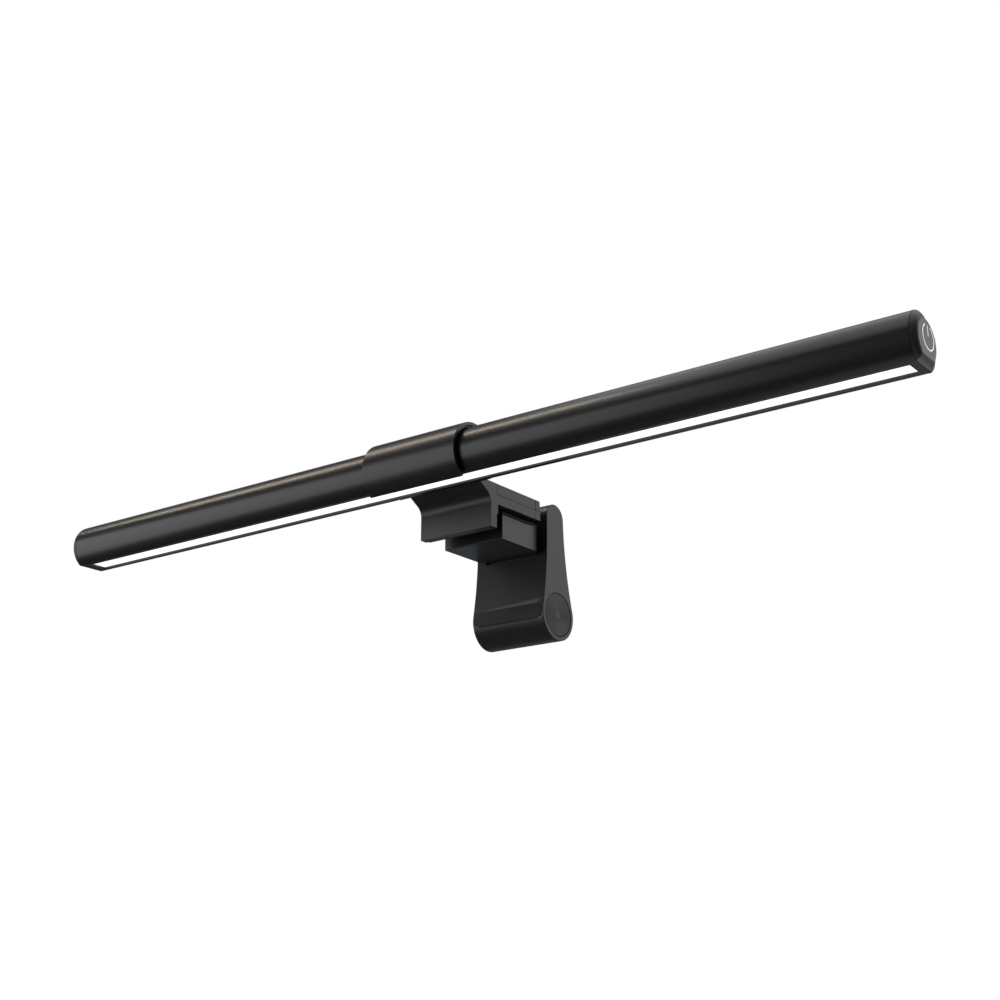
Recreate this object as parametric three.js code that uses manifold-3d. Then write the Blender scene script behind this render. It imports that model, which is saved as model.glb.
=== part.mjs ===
// Monitor light bar: a D-section lamp that turns in a collar, a bracket that hooks over the top edge of
// a monitor, and an L-shaped rear clamp with a counterweight in its foot.
// Millimetres. +X runs along the bar towards the power end, +Y to the back, +Z up. The origin is the
// middle of the bracket's rest face, the underside of the arm that sits on the monitor's top edge.
import * as THREE from "three";
import { ConvexGeometry } from "three/addons/geometries/ConvexGeometry.js";
import { mergeVertices } from "three/addons/utils/BufferGeometryUtils.js";
import Module from "manifold-3d";

// ---------------------------------------------------------------- driving dimensions

// Light bar: position of its axis, then its section, measured from that axis
const BAR_Y = -28.5;
const BAR_Z = 14.8;
const BAR_SHIFT = 2.05; // the collar grips the bar a little off its middle
const BAR_LENGTH = 450;
const BAR_RADIUS = 11.75;
const FLAT_DROP = 9.6; // axis to the flat underside
const BAR_WALL = 1.2;
const FLAT_WALL = 0.9;
const WEB = 1.2; // the shelf across the tube that carries the LED board
const WINDOW_WIDTH = 9.1;
const WINDOW_MARGIN = 3.4; // housing left at each end of the window
const SCREW_PORT_Y = 5.6; // screw ports in the web, each side of the axis
const SCREW_PORT_RADIUS = 1.8;

// Optics and electronics
const DIFFUSER_LAP = 0.6;
const DIFFUSER_THICK = 1.6;
const LED_BOARD_WIDTH = 7;
const LED_BOARD_THICK = 0.9;
const LED_PITCH = 10.25; // least spacing of the chips
const LED_SIZE = 2.6;
const LED_HEIGHT = 0.5;
const REFLECTOR_WALL = 0.6;
const DRIVER_LENGTH = 62;
const DRIVER_THICK = 1.2;
const USB_X = -66; // from the middle of the bar
const USB_WIDTH = 8.94;
const USB_HEIGHT = 3.26;
const USB_DEPTH = 7.3;
const USB_WALL = 0.33;
const BEZEL_WALL = 1.3;

// End caps
const RIGHT_CAP_LENGTH = 2.05;
const RIGHT_INSET_ROUND = 3.7;
const RIGHT_INSET_FLAT = 3.25;
const TOUCH_FACE_THICK = 0.45;
const LEFT_CAP_LENGTH = 2.75;
const LEFT_EDGE_RADIUS = 0.9;
const SPIGOT_LENGTH = 6;
const ICON_Y = 1.1;
const ICON_Z = 1.6;
const ICON_RADIUS = 4.9;
const ICON_STROKE = 0.5;
const ICON_GAP = 57; // degrees left open over the bar of the icon
const ICON_BAR_LENGTH = 4.3;

// Collar: everything in it is built out from the bar's radius
const COLLAR_WIDTH = 51;
const COLLAR_WALL = 1.6;
const LINER_THICK = 0.5;
const LINER_INSET = 0.8;
const BAR_CLEARANCE = 0.3;
const COLLAR_FRONT = 236.5; // degrees from +Y, counter-clockwise seen from +X
const COLLAR_REAR = -33;
const COLLAR_SCREW_ANGLE = -25;
const COLLAR_SCREW_X = 12;

// Bracket
const BRACKET_WIDTH = 39.3;
const ARM_HEIGHT = 9.3;
const ARM_REAR = 28;
const ARM_WALL = 2.4;
const COVER_SCREWS_Y = [6, 16.5];
const COVER_SPLIT = 4.25;
const COVER_FRONT = -4.5;
const COVER_ROOF = 1.8;
const SLOT_GAP = 7.8; // lip to clamp block: the thinnest monitor edge it holds
const LIP_THICK = 4.9;
const LIP_DROP = 10.9;
const LIP_SLOPE = 30;
const LIP_SLOPE_Z = 2.82; // height at which the slope would meet the lip's front plane
const LIP_FILLET = 5.5;
const LIP_CHAMFER = 0.35;
const NECK_FILLET = 3;
const REST_RELIEF = 0.15; // the arm's underside is relieved this much behind its rest face
const REST_MARGIN = 0.2; // the rest face stops this much ahead of the clamp block
const PAD_RECESS = 0.8;
const PAD_PROUD = 0.2;
const LIP_PAD_TOP = -4.4;
const LIP_PAD_INSET = 1; // pad's ends to the lip's sides
const CORE_Y = -1.5; // front of the hollow in the arm
const BOSS_HALF = 2.4; // half the side of each square boss for the hinge end's screws
const BOSS_MARGIN = 1.35; // boss to the hollow's side wall
const HINGE_END_LENGTH = 3.75;
const HINGE_END_STEP = 0.3; // its upper half stops this much short of the lower half
const SPIGOT_Y = 4.2;
const TONGUE_WIDTH = 16.4;
const TONGUE_THICK = 6.8;
const KNUCKLE_RADIUS = 4.1;

// Rear clamp, measured from its hinge axis
const PIVOT_Y = 39.5;
const PIVOT_Z = 4.2;
const PIN_RADIUS = 2;
const PIN_CLEARANCE = 0.08;
const CHEEK_THICK = 3;
const WASHER_THICK = 0.8;
const LEG_WIDTH = 39.4;
const LEG_TOP_RADIUS = 6.6;
const FOOT_DROP = 44.85;
const FOOT_BACKSET = 1.8;
const LEG_FLARE = 9.6; // degrees the lower front leans forward
const LEG_FLARE_RADIUS = 180;
const LEG_BACK_RADIUS = 170;
const LEG_WALL = 2.2;
const BACK_COVER_THICK = 1.8;
const WEIGHT_RADIUS = 10;
const FOOT_WALL = 1.75; // round the counterweight's bore
const DISC_THICK = 2;
const HUB_RADIUS = 2.4;
const LEG_PAD_MARGIN = 0.85; // pad's ends to the leg's sides
const LEG_PAD_HEIGHT = 6.8;
const LEG_PAD_Z = 0.45; // above the foot's centre
const BACK_SCREW_Y = 5.2; // heads of the back cover's screws
const BACK_SCREW_Z = -13.5;
const BACK_SCREW_LIFT = 4.5; // lower screw above the leg's rib
const BLOCK_WIDTH = 32.2;
const BLOCK_HEIGHT = 12.8;
const BLOCK_REST_GAP = 0.4; // arm underside to the block's top when closed
const BLOCK_WALL = 1.5;
const BLOCK_REBATE = 1.3; // block's top under its pad, below its rear edge
const BLOCK_RAMP = 4.8; // length of the rise from the rebate to the rear edge
const BLOCK_LAND = 0.6; // level strip at the rear edge
const NECK_LENGTH = 2.2; // block's rear face to the leg's front
const NECK_INSET = 1.9;
const NECK_STEP = 0.5; // neck's top below the block's
const NECK_SEAT = 1; // how deep the neck sits in the leg's front
const NECK_SLOT = 0.9; // the neck's pocket runs on this far below it

// Screws and clearances
const SHANK_RADIUS = 0.95;
const HEAD_RADIUS = 1.75;
const HEAD_HEIGHT = 1;
const SCREW_CLEARANCE = 0.15;
const FIT = 0.1; // between flat faces that meet
const SEAT = 0.15; // between round faces that meet
const ROUND_STEP = 3.75; // degrees per facet on everything round the bar's axis

// ---------------------------------------------------------------- values that follow

const FLAT_Z = -FLAT_DROP;
const CORE_RADIUS = BAR_RADIUS - BAR_WALL;
const CORE_FLOOR = FLAT_Z + FLAT_WALL;
const HOUSING_X0 = -BAR_LENGTH / 2 + LEFT_CAP_LENGTH;
const HOUSING_X1 = BAR_LENGTH / 2 - RIGHT_CAP_LENGTH;
const DRIVER_BOTTOM = SCREW_PORT_RADIUS + FIT;
const DRIVER_TOP = DRIVER_BOTTOM + DRIVER_THICK;
const USB_Z = DRIVER_TOP + USB_HEIGHT / 2;
const LINER_INNER = BAR_RADIUS + BAR_CLEARANCE;
const LINER_OUTER = LINER_INNER + LINER_THICK;
const COLLAR_INNER = LINER_OUTER + FIT;
const COLLAR_OUTER = COLLAR_INNER + COLLAR_WALL;
const NECK_RADIUS = COLLAR_OUTER + SEAT;
const HALF_BRACKET = BRACKET_WIDTH / 2;
const LIP_BACK = -SLOT_GAP / 2;
const LIP_FRONT = LIP_BACK - LIP_THICK;
const REST_REAR = SLOT_GAP / 2 - REST_MARGIN;
const HINGE_END_Y = ARM_REAR - HINGE_END_LENGTH;
const HALF_CORE = HALF_BRACKET - ARM_WALL;
const COVER_CEILING = ARM_HEIGHT - COVER_ROOF;
const HALF_LEG = LEG_WIDTH / 2;
const LEG_PAD_LENGTH = LEG_WIDTH - 2 * LEG_PAD_MARGIN;
const HALF_LEG_CORE = HALF_LEG - LEG_WALL;
const CHEEK_X = TONGUE_WIDTH / 2 + FIT + WASHER_THICK + FIT;
const BORE_RADIUS = WEIGHT_RADIUS + SEAT;
const FOOT_RADIUS = BORE_RADIUS + FOOT_WALL;
const LEG_RIB_Z = -FOOT_DROP + BORE_RADIUS + BACK_COVER_THICK;
const BACK_COVER_TOP = PIN_RADIUS + 0.3;
const BLOCK_FRONT = SLOT_GAP / 2 - PIVOT_Y;
const BLOCK_TOP = -PIVOT_Z - BLOCK_REST_GAP;
const BLOCK_BOTTOM = BLOCK_TOP - BLOCK_HEIGHT;
const BLOCK_REAR = -LEG_TOP_RADIUS - NECK_LENGTH;
const HALF_NECK = BLOCK_WIDTH / 2 - NECK_INSET;
const BLOCK_SCREW_X = HALF_NECK - 4;
const BLOCK_SCREW_Z = (BLOCK_TOP + BLOCK_BOTTOM) / 2;

// ---------------------------------------------------------------- materials

const finish = (color, roughness, metalness) => new THREE.MeshStandardMaterial({ color, roughness, metalness });
const anodised = finish(0x2a2a2b, 0.38, 0.7);
const shellPlastic = finish(0x303031, 0.55, 0);
const touchPlate = finish(0x707172, 0.5, 0.1);
const silicone = finish(0x1b1b1c, 0.8, 0);
const opal = finish(0xffffff, 0.5, 0);
const whitePlastic = finish(0xe8e8e6, 0.45, 0);
const circuitBoard = finish(0x1d4a33, 0.5, 0);
const steel = finish(0xa7a9ab, 0.3, 1);
const turnedDisc = finish(0x3b3b3c, 0.35, 0.8);
const pomPlastic = finish(0x111112, 0.6, 0);

// ---------------------------------------------------------------- solid helpers

const wasm = await Module();
wasm.setup();

const radians = THREE.MathUtils.degToRad;
const point = (a, b) => new THREE.Vector2(a, b);

function solid(geometry) {
  const bare = geometry.clone();
  bare.deleteAttribute("normal");
  bare.deleteAttribute("uv");
  const merged = mergeVertices(bare, 1e-4);
  return new wasm.Manifold(
    new wasm.Mesh({
      numProp: 3,
      vertProperties: merged.attributes.position.array,
      triVerts: new Uint32Array(merged.index.array),
    }),
  );
}

function geometryOf(manifold) {
  const mesh = manifold.getMesh();
  const positions = new Float32Array(mesh.numVert * 3);
  for (let i = 0; i < mesh.numVert; i++) {
    positions.set(mesh.vertProperties.subarray(i * mesh.numProp, i * mesh.numProp + 3), i * 3);
  }
  return new THREE.BufferGeometry()
    .setAttribute("position", new THREE.BufferAttribute(positions, 3))
    .setIndex(new THREE.BufferAttribute(new Uint32Array(mesh.triVerts), 1));
}

function join(first, ...others) {
  return others.reduce((sum, next) => sum.add(next), first);
}

function cut(first, ...others) {
  return others.reduce((rest, next) => rest.subtract(next), first);
}

// Points of an arc in the YZ plane, from one angle to another in degrees, at most `step` degrees apart.
function arc(y, z, radius, from, to, step = ROUND_STEP) {
  const steps = Math.max(1, Math.ceil(Math.abs(to - from) / step - 1e-6));
  return Array.from({ length: steps + 1 }, (_, i) => {
    const angle = radians(from + ((to - from) * i) / steps);
    return point(y + radius * Math.cos(angle), z + radius * Math.sin(angle));
  });
}

function extruded(outline, length, holes = []) {
  const shape = new THREE.Shape(outline);
  holes.forEach((hole) => shape.holes.push(new THREE.Path(hole)));
  return new THREE.ExtrudeGeometry(shape, { depth: length, bevelEnabled: false });
}

// A prism along X whose outline is given in Y and Z.
function prismX(outline, x0, x1, holes) {
  const turn = new THREE.Matrix4().set(0, 0, 1, x0, 1, 0, 0, 0, 0, 1, 0, 0, 0, 0, 0, 1);
  return solid(extruded(outline, x1 - x0, holes).applyMatrix4(turn));
}

// A prism along Y whose outline is given in X and Z.
function prismY(outline, y0, y1) {
  return solid(extruded(outline, y1 - y0).rotateX(Math.PI / 2).translate(0, y1, 0));
}

function block(x0, x1, y0, y1, z0, z1) {
  const geometry = new THREE.BoxGeometry(x1 - x0, y1 - y0, z1 - z0);
  return solid(geometry.translate((x0 + x1) / 2, (y0 + y1) / 2, (z0 + z1) / 2));
}

function rodX(radius, x0, x1, y, z, sides = 24) {
  const geometry = new THREE.CylinderGeometry(radius, radius, x1 - x0, sides);
  return solid(geometry.rotateZ(-Math.PI / 2).translate((x0 + x1) / 2, y, z));
}

function rodY(radius, y0, y1, x, z, sides = 20) {
  const geometry = new THREE.CylinderGeometry(radius, radius, y1 - y0, sides);
  return solid(geometry.translate(x, (y0 + y1) / 2, z));
}

function rodZ(radius, z0, z1, x, y, sides = 20) {
  const geometry = new THREE.CylinderGeometry(radius, radius, z1 - z0, sides);
  return solid(geometry.rotateX(Math.PI / 2).translate(x, y, (z0 + z1) / 2));
}

const bar = new THREE.Group();
bar.position.set(BAR_SHIFT, BAR_Y, BAR_Z);
const bracket = new THREE.Group();
const clamp = new THREE.Group();
clamp.position.set(0, PIVOT_Y, PIVOT_Z);
const lightBar = new THREE.Group();
lightBar.add(bracket, bar, clamp);

function add(group, name, shape, material) {
  const mesh = new THREE.Mesh(geometryOf(shape), material);
  mesh.name = name;
  group.add(mesh);
  return mesh;
}

// A countersunk screw with a hexagon socket. Its head is at the origin and it points along -Y.
function screw(length) {
  const profile = [
    point(0, -length),
    point(SHANK_RADIUS * 0.6, -length),
    point(SHANK_RADIUS, -length + 0.5),
    point(SHANK_RADIUS, -HEAD_HEIGHT),
    point(HEAD_RADIUS, -0.15),
    point(HEAD_RADIUS, 0),
    point(0, 0),
  ];
  const body = solid(new THREE.LatheGeometry(profile, 16));
  const socket = solid(new THREE.CylinderGeometry(0.75, 0.75, 1, 6));
  return cut(body, socket);
}

// The space a screw needs: a clear hole and a countersink, along -Y from the origin.
function screwSpace(length, sunk = 0) {
  const hole = SHANK_RADIUS + SCREW_CLEARANCE;
  const head = HEAD_RADIUS + SCREW_CLEARANCE;
  const profile = [
    point(0, -length - 0.3),
    point(hole, -length - 0.3),
    point(hole, -HEAD_HEIGHT - SCREW_CLEARANCE),
    point(head, -0.15 - SCREW_CLEARANCE),
    point(head, sunk + 0.5),
    point(0, sunk + 0.5),
  ];
  return solid(new THREE.LatheGeometry(profile, 16));
}

// ---------------------------------------------------------------- light bar

// The bar's D outline: a circle of the given radius cut by the flat at the given height.
function dOutline(radius, flatZ) {
  const corner = THREE.MathUtils.radToDeg(Math.asin(flatZ / radius));
  const first = Math.ceil(corner / ROUND_STEP + 0.2) * ROUND_STEP;
  const inner = arc(0, 0, radius, first, 180 - first);
  const [start] = arc(0, 0, radius, corner, corner);
  return [start, ...inner, point(-start.x, start.y)];
}

// Outline of the tube's upper chamber (above the web) or, mirrored, its lower chamber down to the floor.
function chamberOutline(upper) {
  const sign = upper ? 1 : -1;
  const shelf = WEB / 2;
  const bump = THREE.MathUtils.radToDeg(Math.asin(shelf / SCREW_PORT_RADIUS));
  const wallAngle = THREE.MathUtils.radToDeg(Math.asin(shelf / CORE_RADIUS));
  const right = arc(SCREW_PORT_Y, 0, SCREW_PORT_RADIUS, bump, 180 - bump, 30);
  const left = arc(-SCREW_PORT_Y, 0, SCREW_PORT_RADIUS, bump, 180 - bump, 30);
  let wall;
  if (upper) {
    wall = arc(0, 0, CORE_RADIUS, 180 - wallAngle, wallAngle, 2 * ROUND_STEP);
  } else {
    const corner = THREE.MathUtils.radToDeg(Math.asin(-CORE_FLOOR / CORE_RADIUS));
    wall = [
      ...arc(0, 0, CORE_RADIUS, 180 - wallAngle, 180 - corner, 2 * ROUND_STEP),
      ...arc(0, 0, CORE_RADIUS, corner, wallAngle, 2 * ROUND_STEP),
    ];
  }
  return [...right, ...left, ...wall].map((p) => point(p.x, sign * p.y));
}

{
  const ports = [SCREW_PORT_Y, -SCREW_PORT_Y].map((y) => arc(y, 0, SHANK_RADIUS + SCREW_CLEARANCE, 0, 324, 36));
  const holes = [chamberOutline(true), chamberOutline(false), ...ports];
  const tube = prismX(dOutline(BAR_RADIUS, FLAT_Z), HOUSING_X0, HOUSING_X1, holes);
  const window = block(
    HOUSING_X0 + WINDOW_MARGIN,
    HOUSING_X1 - WINDOW_MARGIN,
    -WINDOW_WIDTH / 2,
    WINDOW_WIDTH / 2,
    FLAT_Z - 1,
    CORE_FLOOR + 0.5,
  );
  const halfWidth = USB_WIDTH / 2 + BEZEL_WALL + FIT;
  const halfHeight = USB_HEIGHT / 2 + BEZEL_WALL + FIT;
  const [left, right] = [USB_X - halfWidth, USB_X + halfWidth];
  const port = block(left, right, 0, BAR_RADIUS + 1, USB_Z - halfHeight, USB_Z + halfHeight);
  add(bar, "bar_housing", cut(tube, window, port), anodised);
}

// Opal strip that closes the window from inside
const DIFFUSER_Z = CORE_FLOOR + FIT;
const DIFFUSER_TOP = DIFFUSER_Z + DIFFUSER_THICK;
{
  const half = WINDOW_WIDTH / 2 + DIFFUSER_LAP;
  const strip = block(HOUSING_X0 + FIT, HOUSING_X1 - FIT, -half, half, DIFFUSER_Z, DIFFUSER_TOP);
  add(bar, "diffuser", strip, opal);
}

// Aluminium-backed LED board under the web, with its row of chips
const LED_BOARD_TOP = -WEB / 2 - FIT;
const LED_BOARD_BOTTOM = LED_BOARD_TOP - LED_BOARD_THICK;
const LED_X0 = HOUSING_X0 + 2 * WINDOW_MARGIN;
const LED_X1 = HOUSING_X1 - 2 * WINDOW_MARGIN;
{
  const half = LED_BOARD_WIDTH / 2;
  const strip = block(LED_X0, LED_X1, -half, half, LED_BOARD_BOTTOM, LED_BOARD_TOP);
  const count = Math.floor((LED_X1 - LED_X0) / LED_PITCH);
  const pitch = (LED_X1 - LED_X0) / count;
  const chips = Array.from({ length: count }, (_, i) => {
    const x = LED_X0 + pitch * (i + 0.5);
    return block(
      x - LED_SIZE / 2,
      x + LED_SIZE / 2,
      -LED_SIZE / 2,
      LED_SIZE / 2,
      LED_BOARD_BOTTOM - LED_HEIGHT,
      LED_BOARD_BOTTOM,
    );
  });
  add(bar, "led_board", join(strip, ...chips), whitePlastic);
}

// White trough that spreads from the LEDs down to the diffuser, open along its top and its mouth
{
  const top = LED_BOARD_BOTTOM - LED_HEIGHT - FIT;
  const bottom = DIFFUSER_TOP + FIT;
  const mouth = WINDOW_WIDTH / 2;
  const throat = LED_BOARD_WIDTH / 2;
  const outline = [
    point(-mouth, bottom),
    point(-mouth + REFLECTOR_WALL, bottom),
    point(-throat + REFLECTOR_WALL, top - REFLECTOR_WALL),
    point(throat - REFLECTOR_WALL, top - REFLECTOR_WALL),
    point(mouth - REFLECTOR_WALL, bottom),
    point(mouth, bottom),
    point(throat, top),
    point(-throat, top),
  ];
  const half = LED_SIZE / 2 + 0.4;
  const trough = prismX(outline, LED_X0, LED_X1);
  const slot = block(LED_X0 + 1.5, LED_X1 - 1.5, -half, half, top - 2 * REFLECTOR_WALL, top + 1);
  add(bar, "reflector", cut(trough, slot), whitePlastic);
}

// Driver board on the screw ports, with its coil, capacitors, chip and the socket's solder side
{
  const half = Math.sqrt(CORE_RADIUS ** 2 - DRIVER_TOP ** 2) - 0.5;
  const x0 = USB_X - 12;
  const board = block(x0, x0 + DRIVER_LENGTH, -half, half, DRIVER_BOTTOM, DRIVER_TOP);
  const coil = block(x0 + 26, x0 + 33, -3.5, 3.5, DRIVER_TOP - FIT, DRIVER_TOP + 3.4);
  const chip = block(x0 + 37, x0 + 42, -2, 3, DRIVER_TOP - FIT, DRIVER_TOP + 1.1);
  const connector = block(x0 + 55, x0 + 60, -3, 3, DRIVER_TOP - FIT, DRIVER_TOP + 2.6);
  const cans = [48, 48 + 4.4].map((x) => rodZ(1.9, DRIVER_TOP - FIT, DRIVER_TOP + 4.2, x0 + x - 1.5, -4.2, 16));
  add(bar, "driver_board", join(board, coil, chip, connector, ...cans), circuitBoard);
}

// Outline with round ends in X and Z, as wide as it is told and twice its end radius high
function stadium(x, z, width, height) {
  const radius = height / 2;
  const reach = width / 2 - radius;
  const right = arc(x + reach, z, radius, -90, 90, 15);
  const left = arc(x - reach, z, radius, 90, 270, 15);
  return [...right, ...left];
}

// USB-C inlet: a steel shell open to the back, with its contact tongue
const USB_MOUTH = Math.sqrt(BAR_RADIUS ** 2 - (USB_Z + USB_HEIGHT / 2) ** 2) - 0.5;
{
  const rear = USB_MOUTH - USB_DEPTH;
  const z = USB_Z + FIT;
  const shell = prismY(stadium(USB_X, z, USB_WIDTH, USB_HEIGHT), rear, USB_MOUTH);
  const inside = stadium(USB_X, z, USB_WIDTH - 2 * USB_WALL, USB_HEIGHT - 2 * USB_WALL);
  const mouth = prismY(inside, rear + 1.2, USB_MOUTH + 1);
  const tongue = block(USB_X - 3.35, USB_X + 3.35, rear + 1, USB_MOUTH - 1, z - 0.35, z + 0.35);
  add(bar, "usb_c_socket", join(cut(shell, mouth), tongue), steel);
}

// Moulded frame round the inlet, flush with the tube
{
  const halfWidth = USB_WIDTH / 2 + BEZEL_WALL;
  const halfHeight = USB_HEIGHT / 2 + BEZEL_WALL;
  const bottom = Math.max(USB_Z - halfHeight, DRIVER_TOP + FIT);
  const front = USB_MOUTH - 2;
  const frame = block(USB_X - halfWidth, USB_X + halfWidth, front, BAR_RADIUS, bottom, USB_Z + halfHeight);
  const skin = prismX(arc(0, 0, BAR_RADIUS, 0, 360 - ROUND_STEP), USB_X - 10, USB_X + 10);
  const opening = stadium(USB_X, USB_Z + FIT, USB_WIDTH + 4 * FIT, USB_HEIGHT + 4 * FIT);
  const socketSpace = prismY(opening, front - 1, BAR_RADIUS + 1);
  add(bar, "usb_bezel", cut(frame.intersect(skin), socketSpace), pomPlastic);
}

// The part of an end cap that plugs into the tube's upper chamber, over the screw ports
function capSpigot(x0, x1) {
  const shelf = SCREW_PORT_RADIUS + FIT;
  const radius = CORE_RADIUS - SEAT;
  const angle = THREE.MathUtils.radToDeg(Math.asin(shelf / radius));
  return prismX(arc(0, 0, radius, angle, 180 - angle, 2 * ROUND_STEP), x0, x1);
}

// A convex slice whose D outline shrinks from one end to the other; each ring is [x, round inset, flat inset].
function dSlice(rings) {
  const points = rings.flatMap(([x, roundInset, flatInset]) =>
    dOutline(BAR_RADIUS - roundInset, FLAT_Z + flatInset).map((p) => new THREE.Vector3(x, p.x, p.y)),
  );
  return solid(new ConvexGeometry(points));
}

// Insets of the right-hand chamfer at a distance from its root
const chamferRing = (x) => {
  const share = (x - HOUSING_X1) / RIGHT_CAP_LENGTH;
  return [x, share * RIGHT_INSET_ROUND, share * RIGHT_INSET_FLAT];
};
const FACE_X = BAR_LENGTH / 2;
const FACE_SEAT = FACE_X - TOUCH_FACE_THICK;
const POCKET_X = HOUSING_X1 + 0.65;
const RIGHT_SCREW_LENGTH = 6.5;
{
  const cone = dSlice([chamferRing(HOUSING_X1 + FIT), chamferRing(FACE_SEAT - FIT / 2)]);
  const spigot = capSpigot(HOUSING_X1 - SPIGOT_LENGTH, HOUSING_X1 + 0.5);
  const pocket = prismX(
    dOutline(BAR_RADIUS - RIGHT_INSET_ROUND - 0.5, FLAT_Z + RIGHT_INSET_FLAT + 0.5),
    POCKET_X,
    FACE_X,
  );
  const portRadius = SHANK_RADIUS + SCREW_CLEARANCE;
  const ports = [SCREW_PORT_Y, -SCREW_PORT_Y].map((y) => rodX(portRadius, 0, FACE_X, y, 0, 16));
  add(bar, "right_end_cap", cut(join(cone, spigot), pocket, ...ports), shellPlastic);
  for (const [side, y] of [["front", -SCREW_PORT_Y], ["rear", SCREW_PORT_Y]]) {
    const headless = [
      point(0, -RIGHT_SCREW_LENGTH),
      point(SHANK_RADIUS, -RIGHT_SCREW_LENGTH),
      point(SHANK_RADIUS, 0),
      point(HEAD_RADIUS - 0.2, 0),
      point(HEAD_RADIUS - 0.2, 0.7),
      point(0, 0.7),
    ];
    const panHead = solid(new THREE.LatheGeometry(headless, 16));
    const screwMesh = add(bar, `right_cap_screw_${side}`, panHead, steel);
    screwMesh.rotation.z = -Math.PI / 2;
    screwMesh.position.set(POCKET_X + FIT, y, 0);
  }
}

// Touch board in the cap's pocket, between the screw heads, with its indicator LED
{
  const x0 = POCKET_X + FIT;
  const half = SCREW_PORT_Y - HEAD_RADIUS - 0.3;
  const bottom = FLAT_Z + RIGHT_INSET_FLAT + 1.2;
  const top = BAR_RADIUS - RIGHT_INSET_ROUND - 2;
  const board = block(x0, x0 + 0.45, -half, half, bottom, top);
  const lamp = block(x0 + 0.4, x0 + 0.7, -0.8, 0.8, -2.4, -1.6);
  add(bar, "touch_board", join(board, lamp), circuitBoard);
}

// Ring of the power icon: an open annulus, and the short bar in its gap
function iconRing(grow) {
  const half = ICON_GAP / 2 - THREE.MathUtils.radToDeg(grow / ICON_RADIUS);
  const outer = arc(ICON_Y, ICON_Z, ICON_RADIUS + ICON_STROKE / 2 + grow, 90 + half, 450 - half, 9);
  const inner = arc(ICON_Y, ICON_Z, ICON_RADIUS - ICON_STROKE / 2 - grow, 450 - half, 90 + half, 9);
  return [...outer, ...inner];
}
const ICON_TOP = ICON_Z + ICON_RADIUS - 0.3;
const iconBar = (grow) =>
  [FACE_SEAT, FACE_X].map((x, i) => [
    x + (i ? grow : -grow),
    ICON_Y + (i ? 1 : -1) * (ICON_STROKE / 2 + grow),
    ICON_TOP + (i ? grow : -ICON_BAR_LENGTH - grow),
  ]);
{
  const plate = dSlice([chamferRing(FACE_SEAT), chamferRing(FACE_X)]);
  const play = 0.05;
  const [low, high] = iconBar(play);
  const ringSpace = prismX(iconRing(play), FACE_SEAT - 1, FACE_X + 1);
  const barSpace = block(FACE_SEAT - 1, FACE_X + 1, low[1], high[1], low[2], high[2]);
  add(bar, "touch_face", cut(plate, ringSpace, barSpace), touchPlate);
  add(bar, "power_icon_ring", prismX(iconRing(0), FACE_SEAT, FACE_X), whitePlastic);
  const [from, to] = iconBar(0);
  add(bar, "power_icon_bar", block(from[0], to[0], from[1], to[1], from[2], to[2]), whitePlastic);
}

// Left cap: a pressed-in plug with a rounded outer edge
{
  const end = -BAR_LENGTH / 2;
  const rings = [0, 30, 60, 90].map((angle) => {
    const inset = LEFT_EDGE_RADIUS * (1 - Math.sin(radians(angle)));
    return [end + LEFT_EDGE_RADIUS * (1 - Math.cos(radians(angle))), inset, inset];
  });
  rings.push([HOUSING_X0 - FIT, 0, 0]);
  const plug = capSpigot(HOUSING_X0 - 0.5, HOUSING_X0 + SPIGOT_LENGTH);
  add(bar, "left_end_cap", join(dSlice(rings), plug), shellPlastic);
}

// ---------------------------------------------------------------- collar

function ringSection(inner, outer, from, to) {
  return [...arc(0, 0, outer, from, to), ...arc(0, 0, inner, to, from)];
}

// Put a shape that points along -Y from the origin onto a ray from the bar's axis, pointing outwards.
function alongRay(shape, angle, radius, x) {
  const turn = new THREE.Matrix4().makeRotationX(radians(angle + 180));
  const a = radians(angle);
  turn.setPosition(x, BAR_Y + radius * Math.cos(a), BAR_Z + radius * Math.sin(a));
  return shape.transform(turn.elements);
}

const COLLAR_SCREW_LENGTH = 5.6;
const COLLAR_HEAD_RADIUS = COLLAR_INNER + 0.15;
const collarScrewSpaces = [-COLLAR_SCREW_X, COLLAR_SCREW_X].map((x) =>
  alongRay(screwSpace(COLLAR_SCREW_LENGTH), COLLAR_SCREW_ANGLE, COLLAR_HEAD_RADIUS, x),
);
{
  const half = COLLAR_WIDTH / 2;
  const section = ringSection(COLLAR_INNER, COLLAR_OUTER, COLLAR_REAR, COLLAR_FRONT);
  const sleeve = prismX(section.map((p) => point(p.x + BAR_Y, p.y + BAR_Z)), -half, half);
  add(bracket, "collar", cut(sleeve, ...collarScrewSpaces), anodised);

  const linerHalf = half - LINER_INSET;
  const lining = ringSection(LINER_INNER, LINER_OUTER, COLLAR_REAR + 2, COLLAR_FRONT - 2);
  const liner = prismX(lining.map((p) => point(p.x + BAR_Y, p.y + BAR_Z)), -linerHalf, linerHalf);
  add(bracket, "collar_liner", liner, pomPlastic);

  for (const [side, x] of [["left", -COLLAR_SCREW_X], ["right", COLLAR_SCREW_X]]) {
    const fixing = add(bracket, `collar_screw_${side}`, screw(COLLAR_SCREW_LENGTH), steel);
    const a = radians(COLLAR_SCREW_ANGLE);
    fixing.rotation.x = radians(COLLAR_SCREW_ANGLE + 180);
    fixing.position.set(x, BAR_Y + COLLAR_HEAD_RADIUS * Math.cos(a), BAR_Z + COLLAR_HEAD_RADIUS * Math.sin(a));
  }
}

// ---------------------------------------------------------------- bracket

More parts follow.
